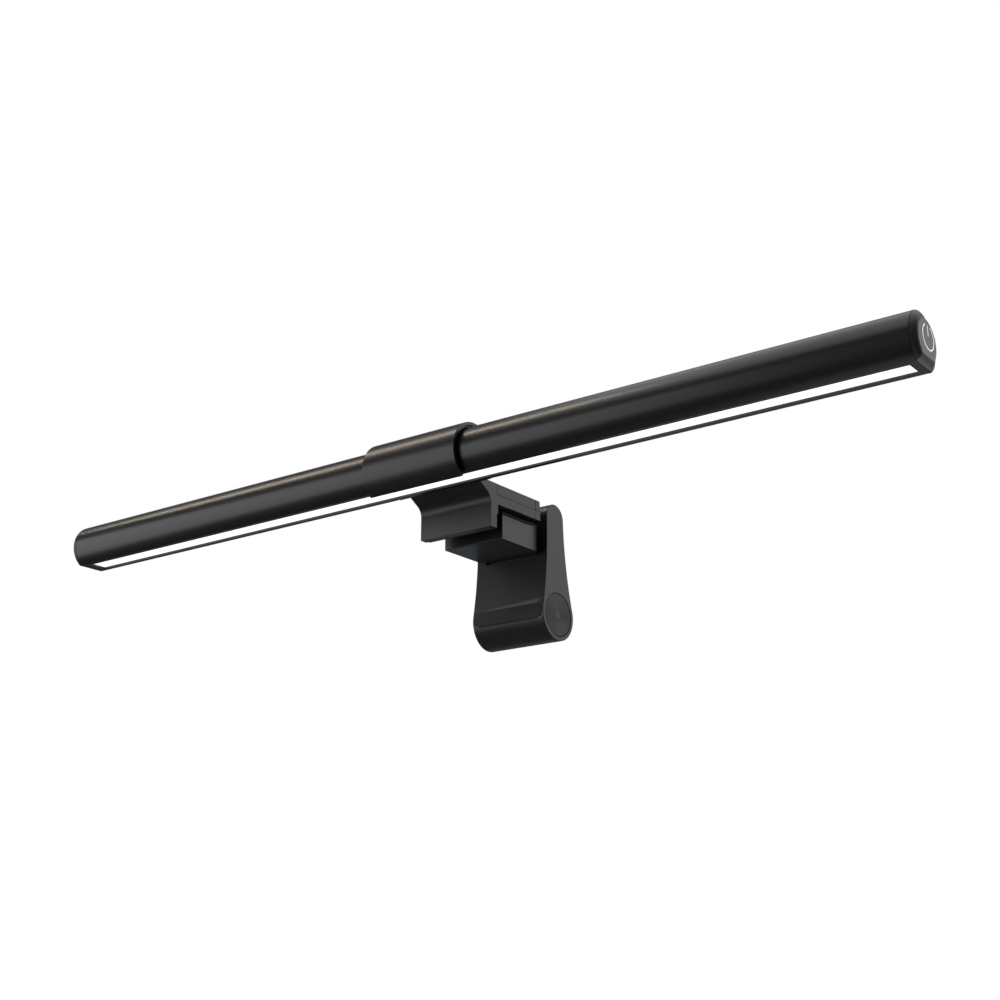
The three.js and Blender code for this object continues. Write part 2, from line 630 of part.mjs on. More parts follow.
// Where the slope under the neck leaves the circle round the collar, found along the slope line
function slopeStart() {
  const run = Math.tan(radians(LIP_SLOPE));
  const dz = LIP_SLOPE_Z - BAR_Z;
  // point (y, LIP_SLOPE_Z + run * (LIP_FRONT - y)) at NECK_RADIUS from the bar's axis
  const c = LIP_FRONT - BAR_Y;
  const a = 1 + run * run;
  const b = -2 * run * (dz + run * c);
  const k = (dz + run * c) ** 2 - NECK_RADIUS ** 2;
  const u = (-b + Math.sqrt(b * b - 4 * a * k)) / (2 * a);
  return point(BAR_Y + u, LIP_SLOPE_Z + run * (c - u));
}

const BOSS_X = HALF_CORE - BOSS_MARGIN - BOSS_HALF;
const BOSS_TOP = COVER_CEILING - 0.4;
const HINGE_SCREW_LENGTH = 14;
const HINGE_SCREW_Z = COVER_SPLIT;
const COVER_HEAD_Z = REST_RELIEF + 0.1;
const turnUp = new THREE.Matrix4().makeRotationX(-Math.PI / 2);

// The space for a screw that goes up into the cover from the arm's underside
function coverScrewSpace(y) {
  const turn = turnUp.clone().setPosition(0, y, COVER_HEAD_Z);
  return screwSpace(6.4).transform(turn.elements);
}
// The space for a screw driven forwards through the hinge end
function hingeScrewSpace(x) {
  const turn = new THREE.Matrix4().setPosition(x, ARM_REAR - 0.2 - HINGE_END_STEP, HINGE_SCREW_Z);
  return screwSpace(HINGE_SCREW_LENGTH).transform(turn.elements);
}

{
  const start = slopeStart();
  const startAngle = THREE.MathUtils.radToDeg(Math.atan2(start.y - BAR_Z, start.x - BAR_Y));
  // fillet between the slope and the lip's upright front
  const filletReach = LIP_FILLET * Math.tan(radians((90 - LIP_SLOPE) / 2));
  const lipCurve = arc(LIP_FRONT - LIP_FILLET, LIP_SLOPE_Z - filletReach, LIP_FILLET, 90 - LIP_SLOPE, 0, 10);
  // fillet between the arm's top and the collar
  const neckZ = ARM_HEIGHT + NECK_FILLET;
  const neckY = BAR_Y + Math.sqrt((NECK_RADIUS + NECK_FILLET) ** 2 - (neckZ - BAR_Z) ** 2);
  const neckAngle = THREE.MathUtils.radToDeg(Math.atan2(neckZ - BAR_Z, neckY - BAR_Y));
  const neckCurve = arc(neckY, neckZ, NECK_FILLET, 270, 180 + neckAngle, 15);
  const saddle = arc(BAR_Y, BAR_Z, NECK_RADIUS, neckAngle, startAngle);
  const outline = [
    ...lipCurve,
    point(LIP_FRONT, -LIP_DROP),
    point(LIP_BACK - PAD_RECESS - LIP_CHAMFER, -LIP_DROP),
    point(LIP_BACK - PAD_RECESS, -LIP_DROP + LIP_CHAMFER),
    point(LIP_BACK - PAD_RECESS, LIP_PAD_TOP),
    point(LIP_BACK, LIP_PAD_TOP),
    point(LIP_BACK, 0),
    point(REST_REAR, 0),
    point(REST_REAR, REST_RELIEF),
    point(HINGE_END_Y, REST_RELIEF),
    point(HINGE_END_Y, COVER_SPLIT),
    point(COVER_FRONT, COVER_SPLIT),
    point(COVER_FRONT, ARM_HEIGHT),
    ...neckCurve,
    ...saddle.slice(1),
  ];
  const body = prismX(outline, -HALF_BRACKET, HALF_BRACKET);
  const core = block(-HALF_CORE, HALF_CORE, CORE_Y, HINGE_END_Y + 1, ARM_WALL, COVER_SPLIT + 1);
  const bossRear = HINGE_END_Y - SPIGOT_Y - FIT;
  const bosses = [-BOSS_X, BOSS_X].map((x) =>
    block(x - BOSS_HALF, x + BOSS_HALF, bossRear - 8, bossRear, ARM_WALL - FIT, BOSS_TOP),
  );
  const screws = [
    ...collarScrewSpaces,
    ...COVER_SCREWS_Y.map(coverScrewSpace),
    hingeScrewSpace(-BOSS_X),
    hingeScrewSpace(BOSS_X),
  ];
  add(bracket, "bracket_body", cut(join(cut(body, core), ...bosses), ...screws), shellPlastic);
}

// Cover of the arm: an upside-down tray with two screw posts
{
  const y0 = COVER_FRONT + FIT;
  const y1 = HINGE_END_Y - FIT;
  const z0 = COVER_SPLIT + FIT;
  const tray = block(-HALF_BRACKET, HALF_BRACKET, y0, y1, z0, ARM_HEIGHT);
  const hollow = block(-HALF_CORE, HALF_CORE, CORE_Y, y1 + 1, z0 - 1, COVER_CEILING);
  const posts = COVER_SCREWS_Y.map((y) => rodZ(2.4, ARM_WALL + FIT, COVER_CEILING + 0.5, 0, y, 16));
  const shape = cut(join(cut(tray, hollow), ...posts), ...COVER_SCREWS_Y.map(coverScrewSpace));
  add(bracket, "arm_top_cover", shape, shellPlastic);
  COVER_SCREWS_Y.forEach((y, i) => {
    const fixing = add(bracket, i ? "cover_screw_rear" : "cover_screw_front", screw(6), steel);
    fixing.rotation.x = -Math.PI / 2;
    fixing.position.set(0, y, COVER_HEAD_Z);
  });
}

// Hinge end: closes the arm's rear and reaches back to the hinge axis with its tongue
{
  const low = block(-HALF_BRACKET, HALF_BRACKET, HINGE_END_Y + FIT, ARM_REAR, REST_RELIEF, COVER_SPLIT);
  const high = block(
    -HALF_BRACKET,
    HALF_BRACKET,
    HINGE_END_Y + FIT,
    ARM_REAR - HINGE_END_STEP,
    COVER_SPLIT - FIT,
    ARM_HEIGHT,
  );
  const spigot = block(
    -HALF_CORE + FIT,
    HALF_CORE - FIT,
    HINGE_END_Y - SPIGOT_Y,
    HINGE_END_Y + 0.5,
    ARM_WALL + FIT,
    COVER_CEILING - FIT,
  );
  const half = TONGUE_WIDTH / 2;
  const reach = TONGUE_THICK / 2;
  const tongue = block(-half, half, ARM_REAR - 1, PIVOT_Y, PIVOT_Z - reach, PIVOT_Z + reach);
  const knuckle = rodX(KNUCKLE_RADIUS, -half, half, PIVOT_Y, PIVOT_Z, 36);
  const bore = rodX(PIN_RADIUS + PIN_CLEARANCE, -half - 1, half + 1, PIVOT_Y, PIVOT_Z, 36);
  const screws = [hingeScrewSpace(-BOSS_X), hingeScrewSpace(BOSS_X)];
  const shape = cut(join(low, high, spigot, tongue, knuckle), bore, ...screws);
  add(bracket, "hinge_end", shape, shellPlastic);
  for (const [side, x] of [["left", -BOSS_X], ["right", BOSS_X]]) {
    const fixing = add(bracket, `hinge_end_screw_${side}`, screw(HINGE_SCREW_LENGTH), steel);
    fixing.position.set(x, ARM_REAR - 0.2 - HINGE_END_STEP, HINGE_SCREW_Z);
  }
}

// Silicone pad in the back of the lip
{
  const half = HALF_BRACKET - LIP_PAD_INSET;
  const y0 = LIP_BACK - PAD_RECESS + FIT / 2;
  const pad = block(-half, half, y0, LIP_BACK + PAD_PROUD, -LIP_DROP + FIT, LIP_PAD_TOP - FIT);
  add(bracket, "lip_pad", pad, silicone);
}

// ---------------------------------------------------------------- rear clamp

// The leg's side outline, inset all round by a wall. It is built from two circles, round the hinge and
// round the foot, an upright front that flares forwards, and a hollow sweep down the back.
function legOutline(inset) {
  const top = LEG_TOP_RADIUS - inset;
  const foot = FOOT_RADIUS - inset;
  const footY = FOOT_BACKSET;
  const footZ = -FOOT_DROP;
  // back: one arc outside the leg that touches both circles
  const toTop = LEG_BACK_RADIUS + LEG_TOP_RADIUS;
  const toFoot = LEG_BACK_RADIUS + FOOT_RADIUS;
  const apart = Math.hypot(footY, footZ);
  const along = (toTop ** 2 - toFoot ** 2 + apart ** 2) / (2 * apart);
  const out = Math.sqrt(toTop ** 2 - along ** 2);
  const [uy, uz] = [footY / apart, footZ / apart];
  const sweep = point(uy * along - uz * out, uz * along + uy * out);
  const sweepTop = THREE.MathUtils.radToDeg(Math.atan2(sweep.y, sweep.x));
  const sweepFoot = THREE.MathUtils.radToDeg(Math.atan2(sweep.y - footZ, sweep.x - footY));
  // front: a straight flare that touches the foot, joined to the upright by a wide curve
  const lean = radians(LEG_FLARE);
  const touch = point(footY - FOOT_RADIUS * Math.cos(lean), footZ + FOOT_RADIUS * Math.sin(lean));
  const bendZ = touch.y + (-LEG_TOP_RADIUS - touch.x) / Math.tan(lean);
  const bendReach = LEG_FLARE_RADIUS * Math.tan(lean / 2);
  const bendY = -LEG_TOP_RADIUS - LEG_FLARE_RADIUS;
  const bend = arc(bendY, bendZ + bendReach, LEG_FLARE_RADIUS + inset, 0, -LEG_FLARE, 2);
  return [
    ...arc(0, 0, top, 180, sweepTop, 12),
    ...arc(sweep.x, sweep.y, LEG_BACK_RADIUS + inset, sweepTop + 180, sweepFoot + 180, 1.6).slice(1),
    ...arc(footY, footZ, foot, sweepFoot, -180 - LEG_FLARE, 12).slice(1),
    ...bend.reverse(),
  ];
}

const legSlab = (inset, half) => prismX(legOutline(inset), -half, half);
const backCoverScrews = [BACK_SCREW_Z, LEG_RIB_Z + BACK_SCREW_LIFT];
// The space for a screw driven forwards through the back cover
function backScrewSpace(z) {
  const turn = new THREE.Matrix4().setPosition(0, BACK_SCREW_Y, z);
  return screwSpace(8, 8).transform(turn.elements);
}
// The space for a screw driven forwards from inside the leg into the block
function blockScrewSpace(x) {
  const turn = new THREE.Matrix4().setPosition(x, -LEG_TOP_RADIUS + LEG_WALL + 0.15, BLOCK_SCREW_Z);
  return screwSpace(6, 3).transform(turn.elements);
}

function legPadBand(outer, inner, grow) {
  const band = cut(legSlab(outer, HALF_LEG), legSlab(inner, HALF_LEG + 1));
  const z = -FOOT_DROP + LEG_PAD_Z;
  const outline = stadium(0, z, LEG_PAD_LENGTH + 2 * grow, LEG_PAD_HEIGHT + 2 * grow);
  const tablet = prismY(outline, -30, FOOT_BACKSET - 5);
  return band.intersect(tablet);
}

{
  const shell = legSlab(0, HALF_LEG);
  const upper = block(-HALF_LEG, HALF_LEG, -40, 40, LEG_RIB_Z, 20);
  const hollow = legSlab(LEG_WALL, HALF_LEG_CORE).intersect(upper);
  const backDoor = block(-HALF_LEG_CORE, HALF_LEG_CORE, 0, 40, LEG_RIB_Z, BACK_COVER_TOP);
  const inside = legSlab(LEG_WALL - FIT, HALF_LEG);
  const cheeks = [-1, 1].map((side) => {
    const [x0, x1] = [side * CHEEK_X, side * (CHEEK_X + CHEEK_THICK)].sort((a, b) => a - b);
    return inside.intersect(block(x0, x1, -40, 2.6, -5, 20));
  });
  const half = TONGUE_WIDTH / 2 + 2 * FIT + WASHER_THICK;
  const edge = TONGUE_THICK / 2;
  const tongueSlot = join(
    block(-half, half, -20, edge + 0.4, 0, 20),
    block(-half, half, -20, 0, -edge - 0.8, 0.5),
    rodX(KNUCKLE_RADIUS + 0.4, -half, half, 0, 0, 36),
  );
  const pinSeat = join(
    rodX(PIN_RADIUS + FIT, -HALF_LEG_CORE, HALF_LEG_CORE, 0, 0, 24),
    block(-HALF_LEG_CORE, HALF_LEG_CORE, 0, 5, -PIN_RADIUS - FIT, PIN_RADIUS + FIT),
  );
  const posts = backCoverScrews.map((z) => rodY(2.3, -30, 3.6, 0, z, 16).intersect(inside));
  const neckSeat = block(
    -HALF_NECK - SEAT,
    HALF_NECK + SEAT,
    -40,
    -LEG_TOP_RADIUS + NECK_SEAT,
    BLOCK_BOTTOM - NECK_SLOT,
    BLOCK_TOP - NECK_STEP + SEAT,
  );
  const bore = rodX(BORE_RADIUS, -HALF_LEG - 1, HALF_LEG + 1, FOOT_BACKSET, -FOOT_DROP, 48);
  const frame = join(cut(shell, hollow, backDoor), ...cheeks, ...posts);
  const padSeat = legPadBand(-2, PAD_RECESS, FIT);
  const shape = cut(
    frame,
    tongueSlot,
    pinSeat,
    neckSeat,
    bore,
    padSeat,
    ...backCoverScrews.map(backScrewSpace),
    blockScrewSpace(-BLOCK_SCREW_X),
    blockScrewSpace(BLOCK_SCREW_X),
  );
  add(clamp, "leg_body", shape, shellPlastic);
}

// Back cover: a plate that follows the leg's back, with two fingers that keep the pin in its seat
{
  const half = HALF_LEG_CORE - FIT;
  const door = block(-half, half, 0.5, 40, LEG_RIB_Z + FIT, BACK_COVER_TOP - FIT);
  const plate = cut(legSlab(0, half), legSlab(BACK_COVER_THICK, half + 1)).intersect(door);
  const fingers = [-1, 1].map((side) => {
    const [x0, x1] = [side * (CHEEK_X + 0.4), side * (CHEEK_X + CHEEK_THICK - 0.4)].sort((a, b) => a - b);
    return block(x0, x1, PIN_RADIUS + 0.3, LEG_TOP_RADIUS - 1, -PIN_RADIUS + 0.2, PIN_RADIUS - 0.2);
  });
  const pads = backCoverScrews.map((z) => rodY(3, 3.7, 9, 0, z, 20).intersect(legSlab(0.5, half)));
  const shape = cut(join(plate, ...fingers, ...pads), ...backCoverScrews.map(backScrewSpace));
  add(clamp, "leg_back_cover", shape, shellPlastic);
  backCoverScrews.forEach((z, i) => {
    const fixing = add(clamp, i ? "back_cover_screw_lower" : "back_cover_screw_upper", screw(7.6), steel);
    fixing.position.set(0, BACK_SCREW_Y, z);
  });
}

{
  const half = TONGUE_WIDTH / 2 + FIT;
  add(clamp, "hinge_pin", rodX(PIN_RADIUS, -CHEEK_X - CHEEK_THICK, CHEEK_X + CHEEK_THICK, 0, 0, 36), steel);
  for (const [side, sign] of [["left", -1], ["right", 1]]) {
    const [x0, x1] = [sign * half, sign * (half + WASHER_THICK)].sort((a, b) => a - b);
    const hole = rodX(PIN_RADIUS + FIT, x0 - 1, x1 + 1, 0, 0, 36);
    const ring = cut(rodX(KNUCKLE_RADIUS - 0.2, x0, x1, 0, 0), hole);
    add(clamp, `hinge_washer_${side}`, ring, pomPlastic);
  }
}

// Counterweight in the foot, and the two turned discs that close its bore
{
  const face = HALF_LEG - FIT;
  const inner = face - DISC_THICK;
  const weight = rodX(WEIGHT_RADIUS, -inner + FIT, inner - FIT, 0, 0, 48);
  add(clamp, "counterweight", weight, steel).position.set(0, FOOT_BACKSET, -FOOT_DROP);
  for (const [side, sign] of [["left", -1], ["right", 1]]) {
    const rim = WEIGHT_RADIUS - 0.05;
    const profile = [
      point(0, 0),
      point(rim, 0),
      point(rim, DISC_THICK - 0.3),
      point(rim - 0.3, DISC_THICK),
      point(HUB_RADIUS + 0.12, DISC_THICK),
      point(HUB_RADIUS, DISC_THICK - 0.2),
      point(0, DISC_THICK - 0.2),
    ];
    const disc = add(clamp, `leg_disc_${side}`, solid(new THREE.LatheGeometry(profile, 48)), turnedDisc);
    disc.rotation.z = (-sign * Math.PI) / 2;
    disc.position.set(sign * inner, FOOT_BACKSET, -FOOT_DROP);
  }
}

add(clamp, "leg_pad", legPadBand(-PAD_PROUD, PAD_RECESS - FIT, 0), silicone);

// Clamp block: a tray that carries the top pad, with a solid root that screws to the leg
{
  const half = BLOCK_WIDTH / 2;
  const root = -LEG_TOP_RADIUS - NECK_LENGTH - 5;
  const floor = BLOCK_TOP - BLOCK_REBATE;
  const rampFoot = BLOCK_REAR - BLOCK_RAMP;
  const rampSlope = (BLOCK_RAMP - BLOCK_LAND) / BLOCK_REBATE;
  const profile = [
    point(BLOCK_FRONT, BLOCK_BOTTOM),
    point(BLOCK_REAR, BLOCK_BOTTOM),
    point(BLOCK_REAR, BLOCK_TOP),
    point(BLOCK_REAR - BLOCK_LAND, BLOCK_TOP),
    point(rampFoot, floor),
    point(BLOCK_FRONT, floor),
  ];
  const body = prismX(profile, -half, half);
  const neck = block(
    -HALF_NECK,
    HALF_NECK,
    BLOCK_REAR - 0.5,
    -LEG_TOP_RADIUS + NECK_SEAT - FIT,
    BLOCK_BOTTOM,
    BLOCK_TOP - NECK_STEP,
  );
  const tray = block(
    -half + BLOCK_WALL,
    half - BLOCK_WALL,
    BLOCK_FRONT + BLOCK_WALL,
    root,
    BLOCK_BOTTOM + BLOCK_WALL,
    BLOCK_TOP,
  );
  const screws = [blockScrewSpace(-BLOCK_SCREW_X), blockScrewSpace(BLOCK_SCREW_X)];
  add(clamp, "clamp_block", cut(join(body, neck), tray, ...screws), shellPlastic);
  const padRear = rampFoot + (BLOCK_REBATE - FIT) * rampSlope;
  const padProfile = [
    point(BLOCK_FRONT, floor + FIT / 2),
    point(rampFoot - FIT, floor + FIT / 2),
    point(padRear - FIT, BLOCK_TOP - FIT / 2),
    point(padRear - FIT, BLOCK_TOP),
    point(BLOCK_FRONT, BLOCK_TOP),
  ];
  const pad = prismX(padProfile, -half, half);
  add(clamp, "block_pad", pad, silicone);
  for (const [side, x] of [["left", -BLOCK_SCREW_X], ["right", BLOCK_SCREW_X]]) {
    const fixing = add(clamp, `block_screw_${side}`, screw(5.6), steel);
    fixing.position.set(x, -LEG_TOP_RADIUS + LEG_WALL + 0.15, BLOCK_SCREW_Z);
  }
}

export default lightBar;
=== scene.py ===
import math

import bmesh
import bpy
from mathutils import Euler, Matrix, Vector


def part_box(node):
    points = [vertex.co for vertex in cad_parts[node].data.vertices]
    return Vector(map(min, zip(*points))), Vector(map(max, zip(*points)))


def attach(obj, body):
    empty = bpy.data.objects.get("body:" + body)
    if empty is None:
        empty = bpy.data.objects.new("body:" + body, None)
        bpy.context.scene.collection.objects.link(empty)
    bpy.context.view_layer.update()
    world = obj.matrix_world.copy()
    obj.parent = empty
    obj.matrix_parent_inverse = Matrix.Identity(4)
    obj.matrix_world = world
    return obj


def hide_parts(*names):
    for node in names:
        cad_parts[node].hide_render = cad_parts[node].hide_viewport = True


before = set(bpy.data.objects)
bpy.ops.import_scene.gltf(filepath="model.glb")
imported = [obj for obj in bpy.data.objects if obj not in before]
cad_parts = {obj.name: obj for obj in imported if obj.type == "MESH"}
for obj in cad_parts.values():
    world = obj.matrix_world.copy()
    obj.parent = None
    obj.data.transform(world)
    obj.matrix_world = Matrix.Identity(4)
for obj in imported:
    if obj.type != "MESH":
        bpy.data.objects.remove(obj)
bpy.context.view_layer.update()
MM = 0.001

# ---------------------------------------------------------------- camera
# It stands low in front of the power end and looks up under the bar, so the lit window, the hook and
# the rear clamp all show. Heading is turned left from +Y, pitch is above the horizon.
HEADING = 36.73
PITCH = 17.82
camera = bpy.data.objects.new("camera", bpy.data.cameras.new("camera"))
camera.location = (0.41449, -0.53161, -0.20991)
camera.rotation_euler = (math.radians(90 + PITCH), 0, math.radians(HEADING))
camera.data.lens = 57.137
camera.data.sensor_width = 36
camera.data.clip_start = 0.01
bpy.context.scene.collection.objects.link(camera)
bpy.context.scene.camera = camera
bpy.context.scene.view_settings.view_transform = "Standard"

# ---------------------------------------------------------------- studio
# A pale floor well below the lamp, a white backdrop, and soft boxes: a warm strip that draws the line
# along the bar, one overhead, one on the power side, one front left, and two that light the floor only.
FLOOR_Z = -0.55
FLOOR_SIZE = 6


class Shade:
    """One output of a material's nodes, with arithmetic written as Python."""

    def __init__(self, paint, socket):
        self.paint = paint
        self.socket = socket

    def _math(self, operation, other):
        return self.paint.node("ShaderNodeMath", {"operation": operation}, {0: self, 1: other})

    def __add__(self, other):
        return self._math("ADD", other)

    def __mul__(self, other):
        return self._math("MULTIPLY", other)

    def __pow__(self, other):
        return self._math("POWER", other)

    def __gt__(self, other):
        return self._math("GREATER_THAN", other)


class Paint:
    """A material's node tree with one shader, and a single way to add any other node to it."""

    def __init__(self, name, **surface):
        self.material = bpy.data.materials.new(name)
        self.material.use_nodes = True
        self.tree = self.material.node_tree
        self.shader = self.tree.nodes["Principled BSDF"]
        self.set(**surface)

    def node(self, kind, settings, inputs, output=0):
        made = self.tree.nodes.new(kind)
        for key, value in settings.items():
            setattr(made, key, value)
        for key, value in inputs.items():
            self._feed(made.inputs[key], value)
        return Shade(self, made.outputs[output])

    def _feed(self, socket, value):
        if isinstance(value, Shade):
            self.tree.links.new(value.socket, socket)
        else:
            socket.default_value = value

    def set(self, **surface):
        for key, value in surface.items():
            self._feed(self.shader.inputs[key.replace("_", " ")], value)
        return self

    def place(self, scale=(1, 1, 1), move=(0, 0, 0)):
        here = self.node("ShaderNodeTexCoord", {}, {}, "Object")
        return self.node("ShaderNodeMapping", {}, {"Vector": here, "Scale": scale, "Location": move})

    def noise(self, scale, detail=3, stretch=(1, 1, 1)):
        inputs = {"Vector": self.place(stretch), "Scale": scale, "Detail": detail}
        return self.node("ShaderNodeTexNoise", {}, inputs, "Fac")

    def mix(self, share, first, second):
        inputs = {"Factor": share, 6: (*first, 1), 7: (*second, 1)}
        return self.node("ShaderNodeMix", {"data_type": "RGBA"}, inputs, 2)

    def bump(self, height, distance, strength=1):
        inputs = {"Height": height, "Distance": distance, "Strength": strength}
        return self.node("ShaderNodeBump", {}, inputs, "Normal")


def floor_paint():
    paint = Paint("pale_floor", Roughness=0.7)
    cloud = paint.noise(3)
    eye = paint.node("ShaderNodeLightPath", {}, {}, "Is Camera Ray")
    paint.set(Base_Color=paint.mix(cloud, (0.13, 0.14, 0.15), (0.15, 0.155, 0.16)), Emission_Strength=1)
    return paint.set(Emission_Color=paint.mix(eye, (0, 0, 0), (0.86, 0.86, 0.86))).material


floor_mesh = bpy.data.meshes.new("floor")
half = FLOOR_SIZE / 2
corners = [(-half, -half, FLOOR_Z), (half, -half, FLOOR_Z), (half, half, FLOOR_Z), (-half, half, FLOOR_Z)]
floor_mesh.from_pydata(corners, [], [(0, 1, 2, 3)])
floor = bpy.data.objects.new("floor", floor_mesh)
bpy.context.scene.collection.objects.link(floor)
floor.data.materials.append(floor_paint())

# The backdrop is white to the eye and dim to the lamp, as a lit wall far behind a dark studio is.
world = bpy.data.worlds.new("studio")
bpy.context.scene.world = world
world.use_nodes = True
sky = world.node_tree
seen = sky.nodes.new("ShaderNodeLightPath")
white = sky.nodes["Background"]
white.inputs["Color"].default_value = (1, 1, 1, 1)
dim = sky.nodes.new("ShaderNodeBackground")
dim.inputs["Color"].default_value = (0.75, 0.85, 1, 1)
dim.inputs["Strength"].default_value = 0.14
choice = sky.nodes.new("ShaderNodeMixShader")
sky.links.new(seen.outputs["Is Camera Ray"], choice.inputs["Fac"])
sky.links.new(dim.outputs["Background"], choice.inputs[1])
sky.links.new(white.outputs["Background"], choice.inputs[2])
sky.links.new(choice.outputs["Shader"], sky.nodes["World Output"].inputs["Surface"])


def soft_box(name, place, target, size, power, colour):
    lamp = bpy.data.lights.new(name, "AREA")
    lamp.shape = "RECTANGLE"
    lamp.size, lamp.size_y = size
    lamp.energy = power
    lamp.color = colour
    box = bpy.data.objects.new(name, lamp)
    aim = Vector(target) - Vector(place)
    box.location = place
    box.rotation_euler = aim.to_track_quat("-Z", "X").to_euler()
    box.visible_camera = False
    bpy.context.scene.collection.objects.link(box)
    return box


soft_box("strip", (-0.85, -0.18, 0.96), (-0.85, -0.03, 0.015), (0.12, 0.8), 3.4, (1, 0.86, 0.7))
soft_box("overhead", (-0.1, -0.12, 1.02), (-0.1, -0.1, 0), (1.7, 1), 5.4, (1, 0.99, 0.98))
soft_box("power_side", (0.92, 1.2, 0.5), (0, 0, 0), (1.4, 1.1), 6.7, (1, 0.99, 0.98))
soft_box("far_left", (-1.13, -0.99, 0.05), (0, -0.03, 0.015), (1.3, 1.4), 9.9, (1, 0.995, 0.99))
far_pool = soft_box("far_pool", (-0.55, 1.4, -0.42), (-0.55, 1.42, -1), (1.2, 1.9), 14, (0.8, 0.9, 1))
near_pool = soft_box("near_pool", (0.2, 0.06, -0.48), (0.2, 0.07, -1), (0.76, 0.62), 6.5, (1, 0.99, 0.98))
for pool in (far_pool, near_pool):
    pool.visible_glossy = False

# ---------------------------------------------------------------- bar housing
# The lamp's body is a black anodised aluminium extrusion, 450 mm long with its caps. Its section is a
# circle cut by a flat, and the flat is milled through for the window and the back for the inlet.


def arc(centre, radius, start, end, count):
    """Points round a centre in the YZ plane, from one angle in degrees to another."""
    turns = [math.radians(start + (end - start) * i / count) for i in range(count + 1)]
    return [(centre[0] + radius * math.cos(t), centre[1] + radius * math.sin(t)) for t in turns]


def circle(centre, radius, count):
    return arc(centre, radius, 0, 360, count)[:-1]


def loft(name, rings):
    """A closed solid through outlines of equal length, each given as its x and its YZ points."""
    mesh = bpy.data.meshes.new(name)
    count = len(rings[0][1])
    points = [(x, y, z) for x, outline in rings for y, z in outline]
    faces = [tuple(range(count)), tuple(range(len(points) - count, len(points)))]
    for ring in range(len(rings) - 1):
        for i in range(count):
            a, b = ring * count + i, ring * count + (i + 1) % count
            faces.append((a, b, b + count, a + count))
    mesh.from_pydata(points, [], faces)
    shape = bmesh.new()
    shape.from_mesh(mesh)
    bmesh.ops.recalc_face_normals(shape, faces=shape.faces)
    shape.to_mesh(mesh)
    shape.free()
    made = bpy.data.objects.new(name, mesh)
    bpy.context.scene.collection.objects.link(made)
    return made


def prism(name, outline, x0, x1):
    return loft(name, [(x0, outline), (x1, outline)])


def prism_along_y(name, outline, y0, y1):
    """A prism that runs along Y, from an outline of XZ points."""
    made = prism(name, outline, -y1, -y0)
    made.data.transform(Matrix(((0, 1, 0, 0), (-1, 0, 0, 0), (0, 0, 1, 0), (0, 0, 0, 1))))
    return made


def brick(name, low, high):
    outline = [(low[1], low[2]), (high[1], low[2]), (high[1], high[2]), (low[1], high[2])]
    return prism(name, outline, low[0], high[0])


def settle(piece):
    """Turns a piece and its modifiers into a plain mesh."""
    bpy.context.view_layer.update()
    done = bpy.data.meshes.new_from_object(piece.evaluated_get(bpy.context.evaluated_depsgraph_get()))
    piece.modifiers.clear()
    piece.data = done
    return piece


def combine(operation, piece, *others):
    """Cuts other solids from a piece, joins them to it or keeps what they share."""
    for other in others:
        step = piece.modifiers.new(operation, "BOOLEAN")
        step.operation = operation
        step.solver = "EXACT"
        step.object = other
        settle(piece)
        bpy.data.objects.remove(other)
    return piece


def shade(piece, angle=32):
    """Shades a piece smooth between its sharp edges, with its large faces kept even."""
    piece.data.shade_smooth()
    piece.data.set_sharp_from_angle(angle=math.radians(angle))
    weigh = piece.modifiers.new("weigh", "WEIGHTED_NORMAL")
    weigh.keep_sharp = True
    return settle(piece)


def soften(piece, width, angle=32, segments=3):
    """Rounds a piece's sharp edges and shades its faces smooth between them."""
    shape = bmesh.new()
    shape.from_mesh(piece.data)
    bmesh.ops.remove_doubles(shape, verts=shape.verts, dist=0.001 * MM)
    shape.to_mesh(piece.data)
    shape.free()
    edges = piece.modifiers.new("edges", "BEVEL")
    edges.width = width
    edges.segments = segments
    edges.limit_method = "ANGLE"
    edges.angle_limit = math.radians(angle)
    settle(piece)
    return shade(piece, angle)


def give(piece, paint, body, slot, *nodes):
    """Finishes a piece: its material, the body it rides on and the CAD nodes it stands for. The slot is not
    used.
    """
    piece.data.materials.clear()
    piece.data.materials.append(paint)
    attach(piece, body)
    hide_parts(*nodes)
    return piece


def dress(paint, *nodes):
    """Gives CAD nodes that keep their own shape a material."""
    for name in nodes:
        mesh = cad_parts[name].data
        mesh.materials.clear()
        mesh.materials.append(paint)


def anodised(name, roughness):
    """Bead-blasted and dyed aluminium: a fine even grain with a faint draw along the extrusion."""
    paint = Paint(name, IOR=1.5)
    draw = paint.noise(900, 4, (0.02, 1, 1))
    grain = paint.noise(5200, 2)
    cloud = paint.noise(24, 3)
    tone = draw * 0.35 + grain * 0.35 + cloud * 0.3
    paint.set(Base_Color=paint.mix(tone, (0.005, 0.005, 0.0052), (0.009, 0.009, 0.0092)))
    paint.set(Roughness=draw * 0.08 + grain * 0.06 + (roughness - 0.07))
    return paint.set(Normal=paint.bump(grain + draw * 0.4, 0.004 * MM, 0.5)).material


tube_low, tube_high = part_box("bar_housing")
RADIUS = (tube_high.y - tube_low.y) / 2
AXIS = ((tube_low.y + tube_high.y) / 2, tube_high.z - RADIUS)
FLAT = tube_low.z - AXIS[1]
WALL = 1.2 * MM
CORNER = 0.3 * MM
GAP = 0.1 * MM
WINDOW_MARGIN = 3.4 * MM
WINDOW_WIDTH = 9.1 * MM


